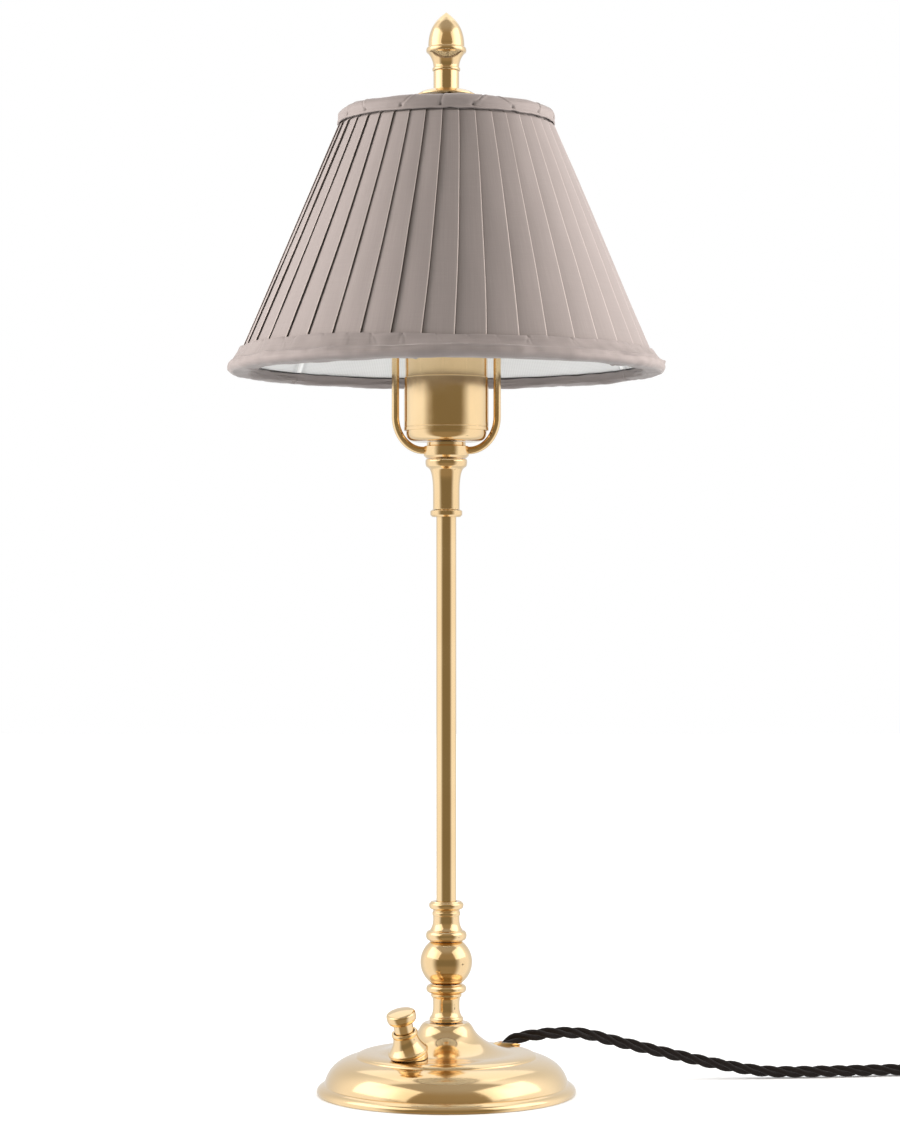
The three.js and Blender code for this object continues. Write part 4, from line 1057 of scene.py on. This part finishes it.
def harpPath():
    look = harp
    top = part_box("harp_bow")[1].z / mm - look["wire"]
    spring = top - look["halfWidth"]
    wide = look["halfWidth"]
    inner = wide - look["bendRun"]
    bends, rises, bows = 16, 7, 24  # steps along each stretch
    side = [(look["inside"], look["foot"])]
    for i in range(bends + 1):
        turn = i / bends * math.pi / 2
        x = inner + look["bendRun"] * math.sin(turn)
        side.append((x, look["foot"] + look["bendRise"] * (1 - math.cos(turn))))
    start = side[-1][1]
    side += [(wide, start + (spring - start) * i / rises) for i in range(1, rises)]
    for i in range(bows):
        turn = i / bows * math.pi / 2
        side.append((wide * math.cos(turn), spring + wide * math.sin(turn)))
    right = [(x, 0, z) for x, z in side]
    left = [(-x, 0, z) for x, z in side[::-1]]
    return [*right, (0, 0, top), *left]


def makeHarp():
    look = harp
    path = harpPath()
    dress(bendWire("harp_wire", path, look["wire"]), brass, "stand", "brass", "harp_bow")
    low, high = heights("harp_hub")
    tall = high - low
    wide, neck = look["hub"], look["hubNeck"]
    hub = Profile(0.88 * wide, low).lines((wide, low + 0.17 * tall), (wide, low + 0.74 * tall))
    hub.lines((neck, low + 0.81 * tall), (neck, high))
    across = facing(Vector((0, 0, look["foot"] * mm)), Vector((1, 0, 0)))
    start, hole = look["inside"] - clearance, look["wire"] + clearance
    holes = [drill(hole, start, 16, across), drill(hole, -16, -start, across)]
    turnInBrass("harp_saddle", hub.solid(stem["bore"]), "harp_hub", 96, 0.2, cuts=holes)
    low, high = heights("harp_stud")
    shoulder = low + 9
    collar, radius = look["studCollar"], look["stud"]
    stud = Profile(collar - 0.8, low).lines((collar, low + 0.8), (collar, shoulder), (radius, shoulder))
    stud.lines((radius, high - 0.6), (radius - 0.6, high))
    holes = [bendWire("bore", path, hole)]
    turnInBrass("harp_threaded_stud", stud.solid(), "harp_stud", 64, 0.12, cuts=holes)


makeHarp()

holder = {
    "cup": 20.2,
    "cupFoot": 15,
    "cupCorner": 5.2,
    "cupWall": 1.0,
    "shell": 21.2,
    "step": 0.5,
    "stepAt": 26.2,
    "wall": 0.7,
}


def makeHolder():
    look = holder
    low, high = heights("socket_cup")
    corner = low + look["cupCorner"]
    inner = look["cup"] - look["cupWall"]
    outer = Profile(look["cupFoot"], low).curve(look["cup"], corner, [(look["cup"], low)], 12)
    outer.line(look["cup"], high)
    floor = low + 1.3
    inside = Profile(look["cupFoot"] - 0.6, floor).curve(inner, corner + 0.4, [(inner, floor)], 10)
    ring = [
        *outer.points,
        (inner, high),
        *inside.points[::-1],
        (stem["bore"], floor),
        (stem["bore"], low),
        outer.points[0],
    ]
    turnInBrass("holder_cup", ring, "socket_cup")
    low, high = heights("socket_shell")
    radius = look["shell"]
    narrow = radius - look["step"]
    step = low + look["stepAt"]
    outer = (
        Profile(radius, low)
        .line(radius, low + 1.6)
        .groove(0.5, 0.12)
        .line(radius, step)
        .curve(narrow, step + 0.5, [(radius, step + 0.5)], 4)
        .line(narrow, high - 1.4)
        .bead(1.3, 0.2)
    )
    points = outer.points + [(narrow - look["wall"], high), (narrow - look["wall"], step)]
    points += [(radius - look["wall"], step - 0.6), (radius - look["wall"], low), outer.points[0]]
    turnInBrass("holder_shell", points, "socket_shell", 112, 0.12)


makeHolder()

bulb = {"neck": 12.3, "neckHeight": 4.5, "globe": 22.5, "wall": 1.0}


def makeBulb():
    look = bulb
    low, high = heights("bulb_glass")
    centre = high - look["globe"]
    outline = Profile(look["neck"], low).line(look["neck"], low + look["neckHeight"] - 1.5)
    start = -math.acos(look["neck"] / look["globe"])
    steps = 40
    for i in range(steps + 1):
        turn = start + (math.pi / 2 - start) * i / steps
        outline.line(max(look["globe"] * math.cos(turn), 0), centre + look["globe"] * math.sin(turn))
    piece = turnOnLathe("lamp_globe", outline.points, 96)
    applyModifier(piece, "SOLIDIFY", thickness=look["wall"] * mm, offset=-1)
    dress(piece, opal, "stand", "opal", "bulb_glass")


makeBulb()
print("harp and holder made")

# Finial and the cap under it

finial = {
    "shank": 6.42,
    "shankTop": 9,
    "flareTop": 18.2,
    "dome": 9.07,
    "domeFoot": 21.1,
    "bore": 3.3,
    "boreDepth": 17,
}


def makeFinial():
    look = finial
    low, high = heights("finial")
    shank, wide, flare = look["shank"], look["dome"], low + look["flareTop"]
    dome = low + look["domeFoot"]
    tall = high - dome
    outline = (
        Profile(shank, low)
        .line(shank, low + look["shankTop"])
        .bead(1.9, 0.58)
        .curve(1.018 * wide, flare, [(1.01 * shank, flare - 3.3)], 14)
        .bead(dome - flare, 0.9, wide)
        .curve(0, high, [(wide, dome + 0.52 * tall), (0.6 * wide, dome + 0.785 * tall)], 28)
    )
    depth = low + look["boreDepth"]
    points = [(0, depth), (look["bore"], depth), (look["bore"], low), *outline.points]
    turnInBrass("acorn_finial", points, "finial", 112, body="finial")
    low, high = heights("shade_cap")
    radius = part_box("shade_cap")[1].x / mm
    cap = (
        Profile(radius, low)
        .line(radius, low + 0.5)
        .curve(radius - 0.5, low + 0.9, [(radius, low + 0.9)], 4)
        .curve(7.05, high, [(0.8 * radius, high - 0.16)], 12)
    )
    turnInBrass("domed_cap", cap.solid(look["bore"]), "shade_cap", 96, 0.12, body="shade")


makeFinial()
print("finial made")

# Shade: the wire frame, then the cloth

shade = {
    "topZ": 491.4,
    "bottomZ": 359.3,
    "topFold": 50.8,
    "bottomFold": 107.2,
    "pleats": 42,
    "firstFold": -91.95,
    "lag": 4.5,  # degrees that the folds lean from top to foot
    "lagFrom": 482.3,
    "lagTo": 363.9,
    "topRing": (48.52, 488.0),
    "bottomRing": (101.39, 362.6),
    "topWire": 1.9,
    "armRadius": 1.6,
    "armRoot": (6.3, 496.3),
    "armTurn": 42,
    "hub": 9,
    "hubFoot": 495.7,
    "strutRun": (100.79, 47.82),
    "strut": 1.2,
    "stepDepth": 1.1,
    "cloth": 0.42,
}

# how far the cover comes in for each millimetre of height
coneLean = (shade["bottomFold"] - shade["topFold"]) / (shade["topZ"] - shade["bottomZ"])


def foldRadius(z):
    return shade["topFold"] + (shade["topZ"] - z) * coneLean


def insideStruts(z, depth=0.0):
    look = shade
    wide, narrow = look["strutRun"]
    low, high = look["bottomRing"][1], look["topRing"][1]
    radius = wide + (narrow - wide) * (z - low) / (high - low)
    lean = math.atan2(wide - narrow, high - low)
    return radius - (look["strut"] + clearance + depth) / math.cos(lean)


def armLine(turn):
    look = shade
    return [outwards(r, turn, z) for r, z in (look["armRoot"], look["topRing"])]


def makeSpider():
    look = shade
    low, wide = look["hubFoot"], look["hub"]
    hub = Profile(wide - 0.4, low).lines((wide, low + 0.4), (wide, low + 1.8), (wide - 0.4, low + 2.2))
    piece = turnOnLathe("shade_spider_frame", hub.solid(finial["bore"]), 72)
    radius, z = look["topRing"]
    circle = [outwards(radius, turn, z) for turn in range(0, 360, 3)]
    parts = [bendWire("ring", circle, look["topWire"], closed=True)]
    for i in range(3):
        parts.append(bendWire("arm", armLine(look["armTurn"] + 120 * i), look["armRadius"]))
    for part in parts:
        carve(piece, part, "UNION")
    dress(piece, steel, "shade", "steel", "shade_spider")


makeSpider()
print("shade frame made")


def wrapGrid(name, across, along, spot, uv, mark):
    # a flat grid whose corners are carried to their places round the shade, and marked
    bpy.ops.mesh.primitive_grid_add(x_subdivisions=across, y_subdivisions=along, size=2)
    piece = bpy.context.object
    piece.name = name
    data = piece.data
    wide = across + 1
    for vertex in data.vertices:
        vertex.co = spot(vertex.index % wide, vertex.index // wide) * mm
    # the "fold" mark says how light the cloth is at each corner: the cloth's own tone, and painted shade and
    # painted highlights as well
    marks = data.attributes.new("fold", "FLOAT", "POINT")
    for k, entry in enumerate(marks.data):
        entry.value = mark(k % wide, k // wide)
    layer = data.uv_layers[0].data
    for face in data.polygons:
        corners = [divmod(data.loops[k].vertex_index, wide) for k in face.loop_indices]
        first = min(column for _, column in corners)
        for k, (row, column) in zip(face.loop_indices, corners):
            layer[k].uv = uv(first, column, row)
    with editing(piece):
        closeUp()
    return piece


pleat = {
    # share of the way along the pleat, how much of the step has gone, and how light the cloth is painted:
    # painted shade under the fold before, lighter towards the fold's edge, where it is a painted highlight
    "section": [
        (-0.06, 1.12, -0.8),
        (0.015, 1.0, -0.2),
        (0.04, 0.98, 0.3),
        (0.12, 0.88, 0.45),
        (0.25, 0.74, 0.5),
        (0.4, 0.57, 0.5),
        (0.6, 0.36, 0.52),
        (0.8, 0.16, 0.55),
        (0.93, 0.03, 0.65),
        (0.972, -0.03, 1.0),
        (0.992, -0.02, 1.3),
        (1.0, 0.12, 1.1),
        (0.99, 0.36, 0.2),
        (0.955, 0.56, 0.0),
        (0.94, 0.8, 0.0),
    ],
    "back": 11,  # from here on, under the fold
    "end": (0.94, 1.1, 0),  # the far end of that hidden stretch
    "uvStrip": 31.0,  # mm of the UV map to each pleat
    "bulge": 0.14,
    "sunk": 0.12,
    "rowsBelow": 44,
    "drift": 0.035,
    "waver": 0.03,
    "depths": (0.8, 1.12),
    "ripple": 0.22,
    "seed": 7,
    # above the folds the cloth is drawn in under the trim: rise, radius and step
    "tuck": [(0.9, 53.2, 0.6), (1.3, 52.6, 0.4), (3.0, 52.4, 0.33), (4.75, 52.25, 0.33)],
}


def coverRows():
    look = shade
    low, high = look["lagTo"], look["lagFrom"]
    rows = []
    for i in range(pleat["rowsBelow"] + 1):
        z = low + (high - low) * i / pleat["rowsBelow"]
        rows.append((z, foldRadius(z), look["stepDepth"]))
    rows.append((high + 0.5, foldRadius(high) - 0.55, 0.85))
    return rows + [(high + rise, radius, step) for rise, radius, step in pleat["tuck"]]


def makeCover():
    look = shade
    rows = coverRows()
    section = pleat["section"]
    count = len(section)
    random.seed(pleat["seed"])
    drifts = [random.uniform(-1, 1) * pleat["drift"] for _ in range(look["pleats"])]
    depths = [random.uniform(*pleat["depths"]) for _ in range(look["pleats"])]
    pitch = 360 / look["pleats"]
    flat = pleat["tuck"][-1][2]

    def foldDrift(which, z):
        which %= look["pleats"]
        return drifts[which] + pleat["waver"] * noise.noise(Vector((which * 3.7, z * 0.02, 4.1)))

    def spot(column, row):
        z, fold, step = rows[row]
        which, k = divmod(column, count)
        which %= look["pleats"]
        share, gone, _ = section[k]
        lag = look["lag"] * (look["lagFrom"] - z) / (look["lagFrom"] - look["lagTo"])
        moved = share + foldDrift(which - 1, z) * (1 - share) + foldDrift(which, z) * share
        turn = look["firstFold"] - lag + pitch * (which + moved)
        held = clamped((step - flat) / (look["stepDepth"] - flat))
        wave = noise.noise(Vector((which * 5.3 + share * 1.4, z * 0.035, 0.5))) * pleat["ripple"]
        bulge = pleat["bulge"] * math.sin(math.pi * min(share, 1))
        swell = bulge + wave * (1 - gone * 0.4) - pleat["sunk"]
        return outwards(fold - step * gone * depths[which] + swell * held, turn, z)

    def uv(first, column, row):
        z, fold, _ = rows[row]
        which = first // count
        k = column - which * count
        share, gone, _ = section[k] if k < count else pleat["end"]
        back = fold * math.radians(pitch) * (1 - share)
        if k > pleat["back"]:
            back = -0.2 - look["stepDepth"] * gone
        return (which * pleat["uvStrip"] - back, (z - look["lagTo"]) * math.hypot(1, coneLean))

    def mark(column, row):
        # how light the cloth is painted here: painted shade under each fold, a painted highlight along its
        # edge
        return section[column % count][2]

    piece = wrapGrid("pleated_cover", look["pleats"] * count, len(rows) - 1, spot, uv, mark)
    applyModifier(piece, "SOLIDIFY", thickness=look["cloth"] * mm, offset=-1)
    dress(piece, cloth, "shade", "cover", "shade_cover", smooth=False)
    shadeSmooth(piece, 60)
    return piece


cover = makeCover()
print("cover pleated")

lining = {
    "foot": 364.7,
    "top": 483.9,
    "thickness": 0.5,
    "slope": 1.09,  # its length over its height
    "gores": 6,
    "firstSeam": 22,
    "columns": 120,  # to the gore
    "rows": 40,
    "welt": 1.5,
    "weltWidth": 0.75,  # degrees
}


def makeLining():
    # six gores, sewn together in raised seams that lean towards the spider; each seam is painted lighter,
    # partly a white seam and partly a painted highlight, with painted shadow to both sides of it
    look = lining
    columns = look["columns"] * look["gores"]
    rows = look["rows"]
    tall = look["top"] - look["foot"]

    def beside(column):
        # degrees to the nearest seam
        share = column / look["columns"] % 1
        return min(share, 1 - share) * 360 / look["gores"]

    def place(column, row):
        z = look["foot"] + tall * row / rows
        ease = math.sin(math.pi * row / rows) ** 0.5 if 0 < row < rows else 0
        wave = 0.25 * noise.noise(Vector((column * 0.05, z * 0.012, 2.2))) * ease
        welt = look["welt"] * hump(beside(column), look["weltWidth"])
        turn = look["firstSeam"] + 360 * column / columns
        return outwards(insideStruts(z) - welt + wave * (1 - welt / look["welt"]), turn, z)

    def uv(first, column, row):
        around = 2 * math.pi * insideStruts((look["foot"] + look["top"]) / 2)
        return (around * column / columns, tall * look["slope"] * row / rows)

    def mark(column, row):
        away = beside(column)
        # lighter on the seam, partly the seam itself and partly a painted highlight, and a painted shadow in
        # a band to each side
        return 0.6 + 0.9 * hump(away, 0.7) - 0.35 * hump(away - 2, 0.9)

    piece = wrapGrid("shade_inner_cloth", columns, rows, place, uv, mark)
    applyModifier(piece, "SOLIDIFY", thickness=look["thickness"] * mm, offset=-1)
    return dress(piece, liner, "shade", "lining", "shade_lining")


innerCloth = makeLining()

trim = {
    "thickness": 0.8,
    "inside": 0.9,  # how much further in than the lining the trims' inner sides lie
    "columns": 1080,
    "topOuter": [
        (53.9, 483.85), (54.25, 484.05), (54.4, 484.4), (54.35, 484.75), (54.1, 485.1),
        (54.0, 485.7), (54.05, 486.5), (54.1, 487.3), (54.0, 488.0),
    ],
    "topInnerFoot": 483.9,
    "stitchHeight": 485.9,
    "hem": 483.8,
    "mouth": 110.2,
    "returnTop": 364.1,
    "ridge": 364.6,
    "bottomEdge": 370.5,
    # turns about which it reaches higher, how far to each side, and over how many it eases off
    "raised": (205, 65, 28),
    # turns of the stitches that pinch the top binding, and how each crease leans
    "pinches": [
        (-137, -0.5), (-114, 0.8), (-93, 0.2), (-76, 0.9), (-53, -1.1), (-33, 0.4),
        (-9, -0.7), (14, 0.6), (34, -0.2), (57, 0.9), (78, -0.8), (99, 0.3),
        (123, 0.7), (143, -0.6), (166, 0.2), (187, -0.9), (205, 0.6),
    ],
    "puckers": 46,
    "seed": 12,
}


def trimOuter(z):
    return (foldRadius(z) + clearance) * 1.0048 + trim["thickness"]


def wander(turn, z, fine):
    # smooth chance round the shade, from about -0.5 to 0.5
    return noise.noise(outwards(fine, turn, z))


def wrapTrim(name, outline, push, lift, tint, node):
    # at a turn, a share of the outline and a height: push moves the roll outwards and lift
    # upwards, in mm, and tint says how light the cloth is
    columns = trim["columns"]
    points = outline.points
    around = 2 * math.pi * points[len(points) // 2][0]
    reach = [0.0]
    for (r0, z0), (r1, z1) in zip(points, points[1:]):
        reach.append(reach[-1] + math.hypot(r1 - r0, z1 - z0))

    def place(column, row):
        r, z = points[row]
        x, y = outline.outward(row)
        turn = 360 * column / columns
        out = push(turn, reach[row] / reach[-1], z)
        rise = lift(turn, z)
        return outwards(r + out * x - rise * coneLean, turn, z + out * y + rise)

    def uv(first, column, row):
        return (reach[row], around * column / columns)

    def mark(column, row):
        return tint(360 * column / columns, reach[row] / reach[-1], points[row][1])

    piece = wrapGrid(name, columns, len(points) - 1, place, uv, mark)
    applyModifier(piece, "SOLIDIFY", thickness=trim["thickness"] * mm, offset=-1)
    return dress(piece, cloth, "shade", "cover", node)


def apart(turn, other):
    # degrees from one turn to another, the short way
    return (turn - other + 180) % 360 - 180


def makeTopTrim():
    wire = shade["topRing"][1]
    inner = insideStruts(wire, trim["inside"])
    low = trim["topInnerFoot"]
    foot = insideStruts(low, trim["inside"])
    crown = shade["topZ"]
    outer = trim["topOuter"]
    middle = (outer[-1][0] + inner) / 2
    stitch = trim["stitchHeight"]
    outline = (
        Profile(*outer[0])
        .lines(*outer[1:])
        .curve(middle, crown, [(53.9, 489.9), (middle + 2.4, crown)], 16)
        .curve(inner, wire, [(inner, crown)], 8)
        .lines(((inner + foot) / 2, (wire + low) / 2), (foot, low))
    )

    def push(turn, share, z):
        if share > 0.5:
            return 0
        pinch = 0
        above = clamped((z - stitch + 0.5) / 1.5)
        for centre, lean in trim["pinches"]:
            gap = apart(turn, centre)
            if abs(gap) < 12:
                # a dimple over the hem, and a crease that runs up from it beside a raised fold
                pinch += 0.75 * hump(gap, 0.95) * hump(z - stitch, 0.75)
                line = gap - lean * (z - stitch) * 1.4
                pinch += (0.28 * hump(line, 0.6) - 0.2 * hump(line - 1.5, 0.9)) * above
        soft = 0.34 * wander(turn, z * 0.12, 2.6) + 0.18 * wander(turn, z * 0.2, 9)
        hem = 0.3 * wander(turn, 0.4, 14) * max(0, 1 - (z - trim["hem"]) / 1.4)
        return soft + hem - pinch

    def lift(turn, z):
        return 0.5 * wander(turn, 0.9, 7) * max(0, 1 - (z - trim["hem"]) / 3)

    def tint(turn, share, z):
        # the inner side darker than the outer, a painted shade; a lighter band along the hem's roll, a
        # painted highlight; darker in the dimples at the stitches, a painted shade
        if share > 0.5:
            return 0.2
        nearest = max(hump(apart(turn, centre), 0.9) for centre, _ in trim["pinches"])
        hem = max(0, 1 - abs(z - trim["hem"] - 0.7) / 0.5)
        return 0.42 + 0.45 * hem - 0.9 * nearest * hump(z - stitch, 0.7)

    rolled = wrapTrim("top_binding", outline, push, lift, tint, "shade_top_trim")
    for i in range(3):
        start, end = (spot * mm for spot in armLine(shade["armTurn"] + 120 * i))
        carve(rolled, drill(shade["armRadius"] + clearance, -1.0, 9, facing(end, start - end), 32))
    shadeSmooth(rolled)
    return rolled


def makeBottomTrim():
    ring = shade["bottomRing"]
    inner = insideStruts(ring[1], trim["inside"])
    foot = shade["bottomZ"]
    edge = trim["bottomEdge"]
    outline = (
        Profile(insideStruts(trim["returnTop"], trim["inside"]), trim["returnTop"])
        .line(inner, ring[1])
        .curve(ring[0], foot, [(inner, foot)], 8)
        .line(105.6, foot)
        .curve(107.6, 365.3, [(trim["mouth"], foot), (trim["mouth"], 363.6)], 20)
        .curve(trimOuter(edge - 0.9) - 0.25, edge - 0.9, [(106.5, 366.4), (105.2, 367.7)], 14)
        .line(trimOuter(edge - 0.4) - 0.35, edge - 0.4)
        .line(trimOuter(edge) - 0.5, edge)
    )
    spacing = 360 / trim["puckers"]
    random.seed(trim["seed"])
    puckers = []
    for i in range(trim["puckers"]):
        middle = spacing * (i + random.uniform(-0.35, 0.35))
        puckers.append((middle, random.uniform(-1, 1), random.uniform(0.4, 1), random.uniform(1.5, 5.5)))

    def push(turn, share, z):
        if share < 0.35:
            # the inner side: long creases, and a ridge under each seam of the lining
            away = apart(turn * lining["gores"], lining["firstSeam"] * lining["gores"]) / lining["gores"]
            seam = 0.5 * hump(away, 0.45) - 0.4 * hump(away - 1.1, 0.5)
            return (1.1 * wander(turn, z * 0.9, 6) + seam) * min(share * 6, 1)
        soft = 0.5 * wander(turn, z * 0.1, 5) + 0.3 * wander(turn, z * 0.22, 17)
        # the turned edge inside the roll stands out as a ridge, here more and there less
        ridge = trim["ridge"] + 0.9 * wander(turn, 0.3, 4.5)
        strength = 0.8 + 1.7 * wander(turn, 2.6, 6)
        out = soft + max(strength, 0) * hump(z - ridge, 0.42)
        which = int(turn // spacing)
        for i in (which - 1, which, (which + 1) % trim["puckers"]):
            middle, lean, deep, tall = puckers[i]
            gap = apart(turn, middle)
            fall = clamped((z - edge - 0.1 + tall) / tall)
            below = (edge - z) * 0.42
            # two creases that part downwards, and the fuller cloth between them
            for arm in (lean, lean - 0.9):
                out -= 0.45 * deep * hump(gap + arm * below, 0.36) * fall
            out += 0.3 * deep * hump(gap + (lean - 0.45) * below, 0.5) * fall
        return out - 0.1

    def lift(turn, z):
        # it reaches a little higher up the cover at the left
        centre, wide, ease = trim["raised"]
        left = clamped((wide - abs(apart(turn, centre))) / ease)
        return (1.8 * left + 0.5 * wander(turn, 0.2, 8)) * clamped((z - 366) / 3)

    def tint(turn, share, z):
        # share runs the other way here: the inner side comes last
        return 0.4 if share > 0.68 else 0.42 + 0.5 * wander(turn, z * 0.3, 15)

    # turned inside out, so that its outside still faces outwards
    outline.points.reverse()

    def pushIn(turn, share, z):
        return -push(turn, 1 - share, z)

    return wrapTrim("bottom_binding", outline, pushIn, lift, tint, "shade_bottom_trim")


topBinding = makeTopTrim()
bottomBinding = makeBottomTrim()


def makeThreadAndShadow():
    # a dark thread where the binding closes inside the mouth, partly the stitches and partly a painted shadow
    # along the top of the strip
    points = []
    for i in range(720):
        turn = i / 2
        z = trim["returnTop"] - 0.1 + 0.7 * wander(turn, 0.7, 9)
        points.append(outwards(insideStruts(z, trim["inside"] + 0.3), turn, z))
    thread = bendWire("stitch_and_shadow_line", points, 0.22, closed=True, roundness=2)
    return dress(thread, black, "shade", "cover")


threadAndShadow = makeThreadAndShadow()
coverPieces = [topBinding, bottomBinding, threadAndShadow]


def pleatFullness():
    # how much more cloth a pleat takes than the width that it covers
    middle = (shade["lagTo"] + shade["lagFrom"]) / 2
    pitch = 2 * math.pi * foldRadius(middle) / shade["pleats"]
    first = pleat["section"][0]
    path = [*pleat["section"], (first[0] + 1, *first[1:])]
    length = 0
    for (share0, gone0, _), (share1, gone1, _) in zip(path, path[1:]):
        length += math.hypot((share1 - share0) * pitch, (gone1 - gone0) * shade["stepDepth"])
    return length / pitch


def cutSize(rows, fullness=1.0):
    # width and height in metres of a straight strip with as much cloth as these heights and radii take
    height = 0
    area = 0
    for (z0, r0), (z1, r1) in zip(rows, rows[1:]):
        span = math.hypot(r1 - r0, z1 - z0)
        height += span
        area += span * math.pi * (r0 + r1) * fullness
    return (area / height * mm, height * mm)


coverCut = cutSize([(z, r) for z, r, _ in coverRows()], pleatFullness())
liningCut = cutSize([(z, insideStruts(z)) for z in (lining["foot"], lining["top"])])
print("shade made: cover cut %.3f x %.3f m, lining %.3f x %.3f m" % (*coverCut, *liningCut))

# What stays as it came from the frame

keptNodes = [
    (steel, ("base_plate", "plate_screw", "base_washer", "base_nipple", "top_nipple")),
    (steel, ("shade_strut", "shade_bottom_ring")),
    (iron, ("base_weight",)),
    (brass, ("base_nut", "socket_nut")),
    (black, ("base_flex", "stem_flex", "switch_body")),
    (white, ("socket_insulator",)),
    (nickel, ("screw_shell", "centre_contact", "bulb_cap", "plug_earth")),
]
for name, node in frame["nodes"].items():
    for material, starts in keptNodes:
        if name.startswith(starts):
            node.data.materials.clear()
            node.data.materials.append(material)
            shadeSmooth(node)

# Floor and light

light = {
    "backdrop": (1.0, 1.0, 1.0),
    "around": (1.14, 1.14, 1.17),  # the walls to both sides, as the lamp sees them
    "behind": (0.80, 0.80, 0.80),
    "front": (0.25, 0.205, 0.125),  # the dim side, behind the camera
    "frontRaised": (0.36, 0.285, 0.18),  # the same side, higher up and lower down
    "ceiling": (0.46, 0.43, 0.39),
    "aim": (0, 0, 0.28),
    # name, place, size and power
    "softboxes": [
        ("softboxLeft", (-1.42, -0.55, 1.12), (2.2, 1.3), 8.5),
        ("softboxRight", (1.45, -0.45, 1.12), (2.0, 1.3), 7.5),
        ("softboxAbove", (0, 1.2, 2.1), (2.2, 2.0), 6.0),
    ],
    "floorWash": ((0, 0.5, 4), (0, 0.5, 0), (14, 14), 420.0),
    "shadeAim": (0, 0, 0.43),
    "shadeColour": (1.0, 0.90, 0.84),
    "onShade": [
        ("shadeLeft", (-1.6, -0.1, 0.75), (0.8, 0.8), 42.0),
        ("shadeRight", (1.6, 0.0, 0.75), (0.8, 0.8), 46.0),
    ],
}


def makeFloor():
    bpy.ops.mesh.primitive_plane_add(size=8, location=(0, 0, 0))
    floor = bpy.context.object
    floor.name = "studio_floor"
    with editing(floor):
        bpy.ops.mesh.select_all(action="SELECT")
        bpy.ops.mesh.subdivide(number_cuts=4)
    tones = (0.93, 0.93, 0.93), (0.95, 0.95, 0.95)
    pale = grainedFinish("paleFloor", {"Specular IOR Level": 0.2}, (3.0, 2.0), tones, (0.75, 0.1))
    floor.data.materials.append(pale)
    floor.visible_glossy = False
    return floor


def hangLight(name, place, aim, size, power, pieces=()):
    # where it names pieces, its light falls on those alone
    place, aim = Vector(place), Vector(aim)
    bpy.ops.object.light_add(type="AREA", location=place)
    lamp = bpy.context.object
    lamp.name = name
    lamp.rotation_euler = (aim - place).to_track_quat("-Z", "Y").to_euler()
    lamp.data.shape = "RECTANGLE"
    lamp.data.size, lamp.data.size_y = size
    lamp.data.energy = power
    if pieces:
        group = bpy.data.collections.new(name)
        for piece in pieces:
            group.objects.link(piece)
        lamp.light_linking.receiver_collection = group
    return lamp


def lightWorld():
    # white all round, dim and warm on the side the camera stands on, grey overhead
    world = bpy.data.worlds.new("studio")
    bpy.context.scene.world = world
    world.use_nodes = True
    nodes = Nodes(world.node_tree)
    direction = nodes.node("TexCoord", out="Generated")
    level = nodes.node("VectorMath", {"operation": "MULTIPLY"}, {0: direction, 1: (1, 1, 0)})
    level = nodes.node("VectorMath", {"operation": "NORMALIZE"}, {0: level})
    ahead = nodes.node("SeparateXYZ", {}, {0: level}).output("Y") * -1
    up = nodes.node("SeparateXYZ", {}, {0: direction}).output("Z")
    raised = (up * up).between(0.006, 0.12)
    dim = nodes.colours(raised, light["front"], light["frontRaised"])
    colour = nodes.colours((ahead * -1).between(0.3, 0.9), light["around"], light["behind"])
    colour = nodes.mixed(ahead.between(0.34, 0.8), colour, dim)
    high = up.between(0.55, 0.9) * ahead.between(-0.1, 0.2)
    colour = nodes.mixed(high, colour, (*light["ceiling"], 1))
    # the backdrop itself is plain white
    seen = nodes.node("LightPath", out="Is Camera Ray")
    colour = nodes.mixed(seen, colour, (*light["backdrop"], 1))
    background = world.node_tree.nodes["Background"]
    nodes.feed(background.inputs["Color"], colour)
    nodes.feed(background.inputs["Strength"], 1.0)


floor = makeFloor()
lightWorld()
for name, place, size, power in light["softboxes"]:
    hangLight(name, place, light["aim"], size, power)
hangLight("floorWash", *light["floorWash"], [floor])
for name, place, size, power in light["onShade"]:
    lamp = hangLight(name, place, light["shadeAim"], size, power, [cover, *coverPieces])
    lamp.data.color = light["shadeColour"]

bpy.context.scene.view_settings.view_transform = "Standard"
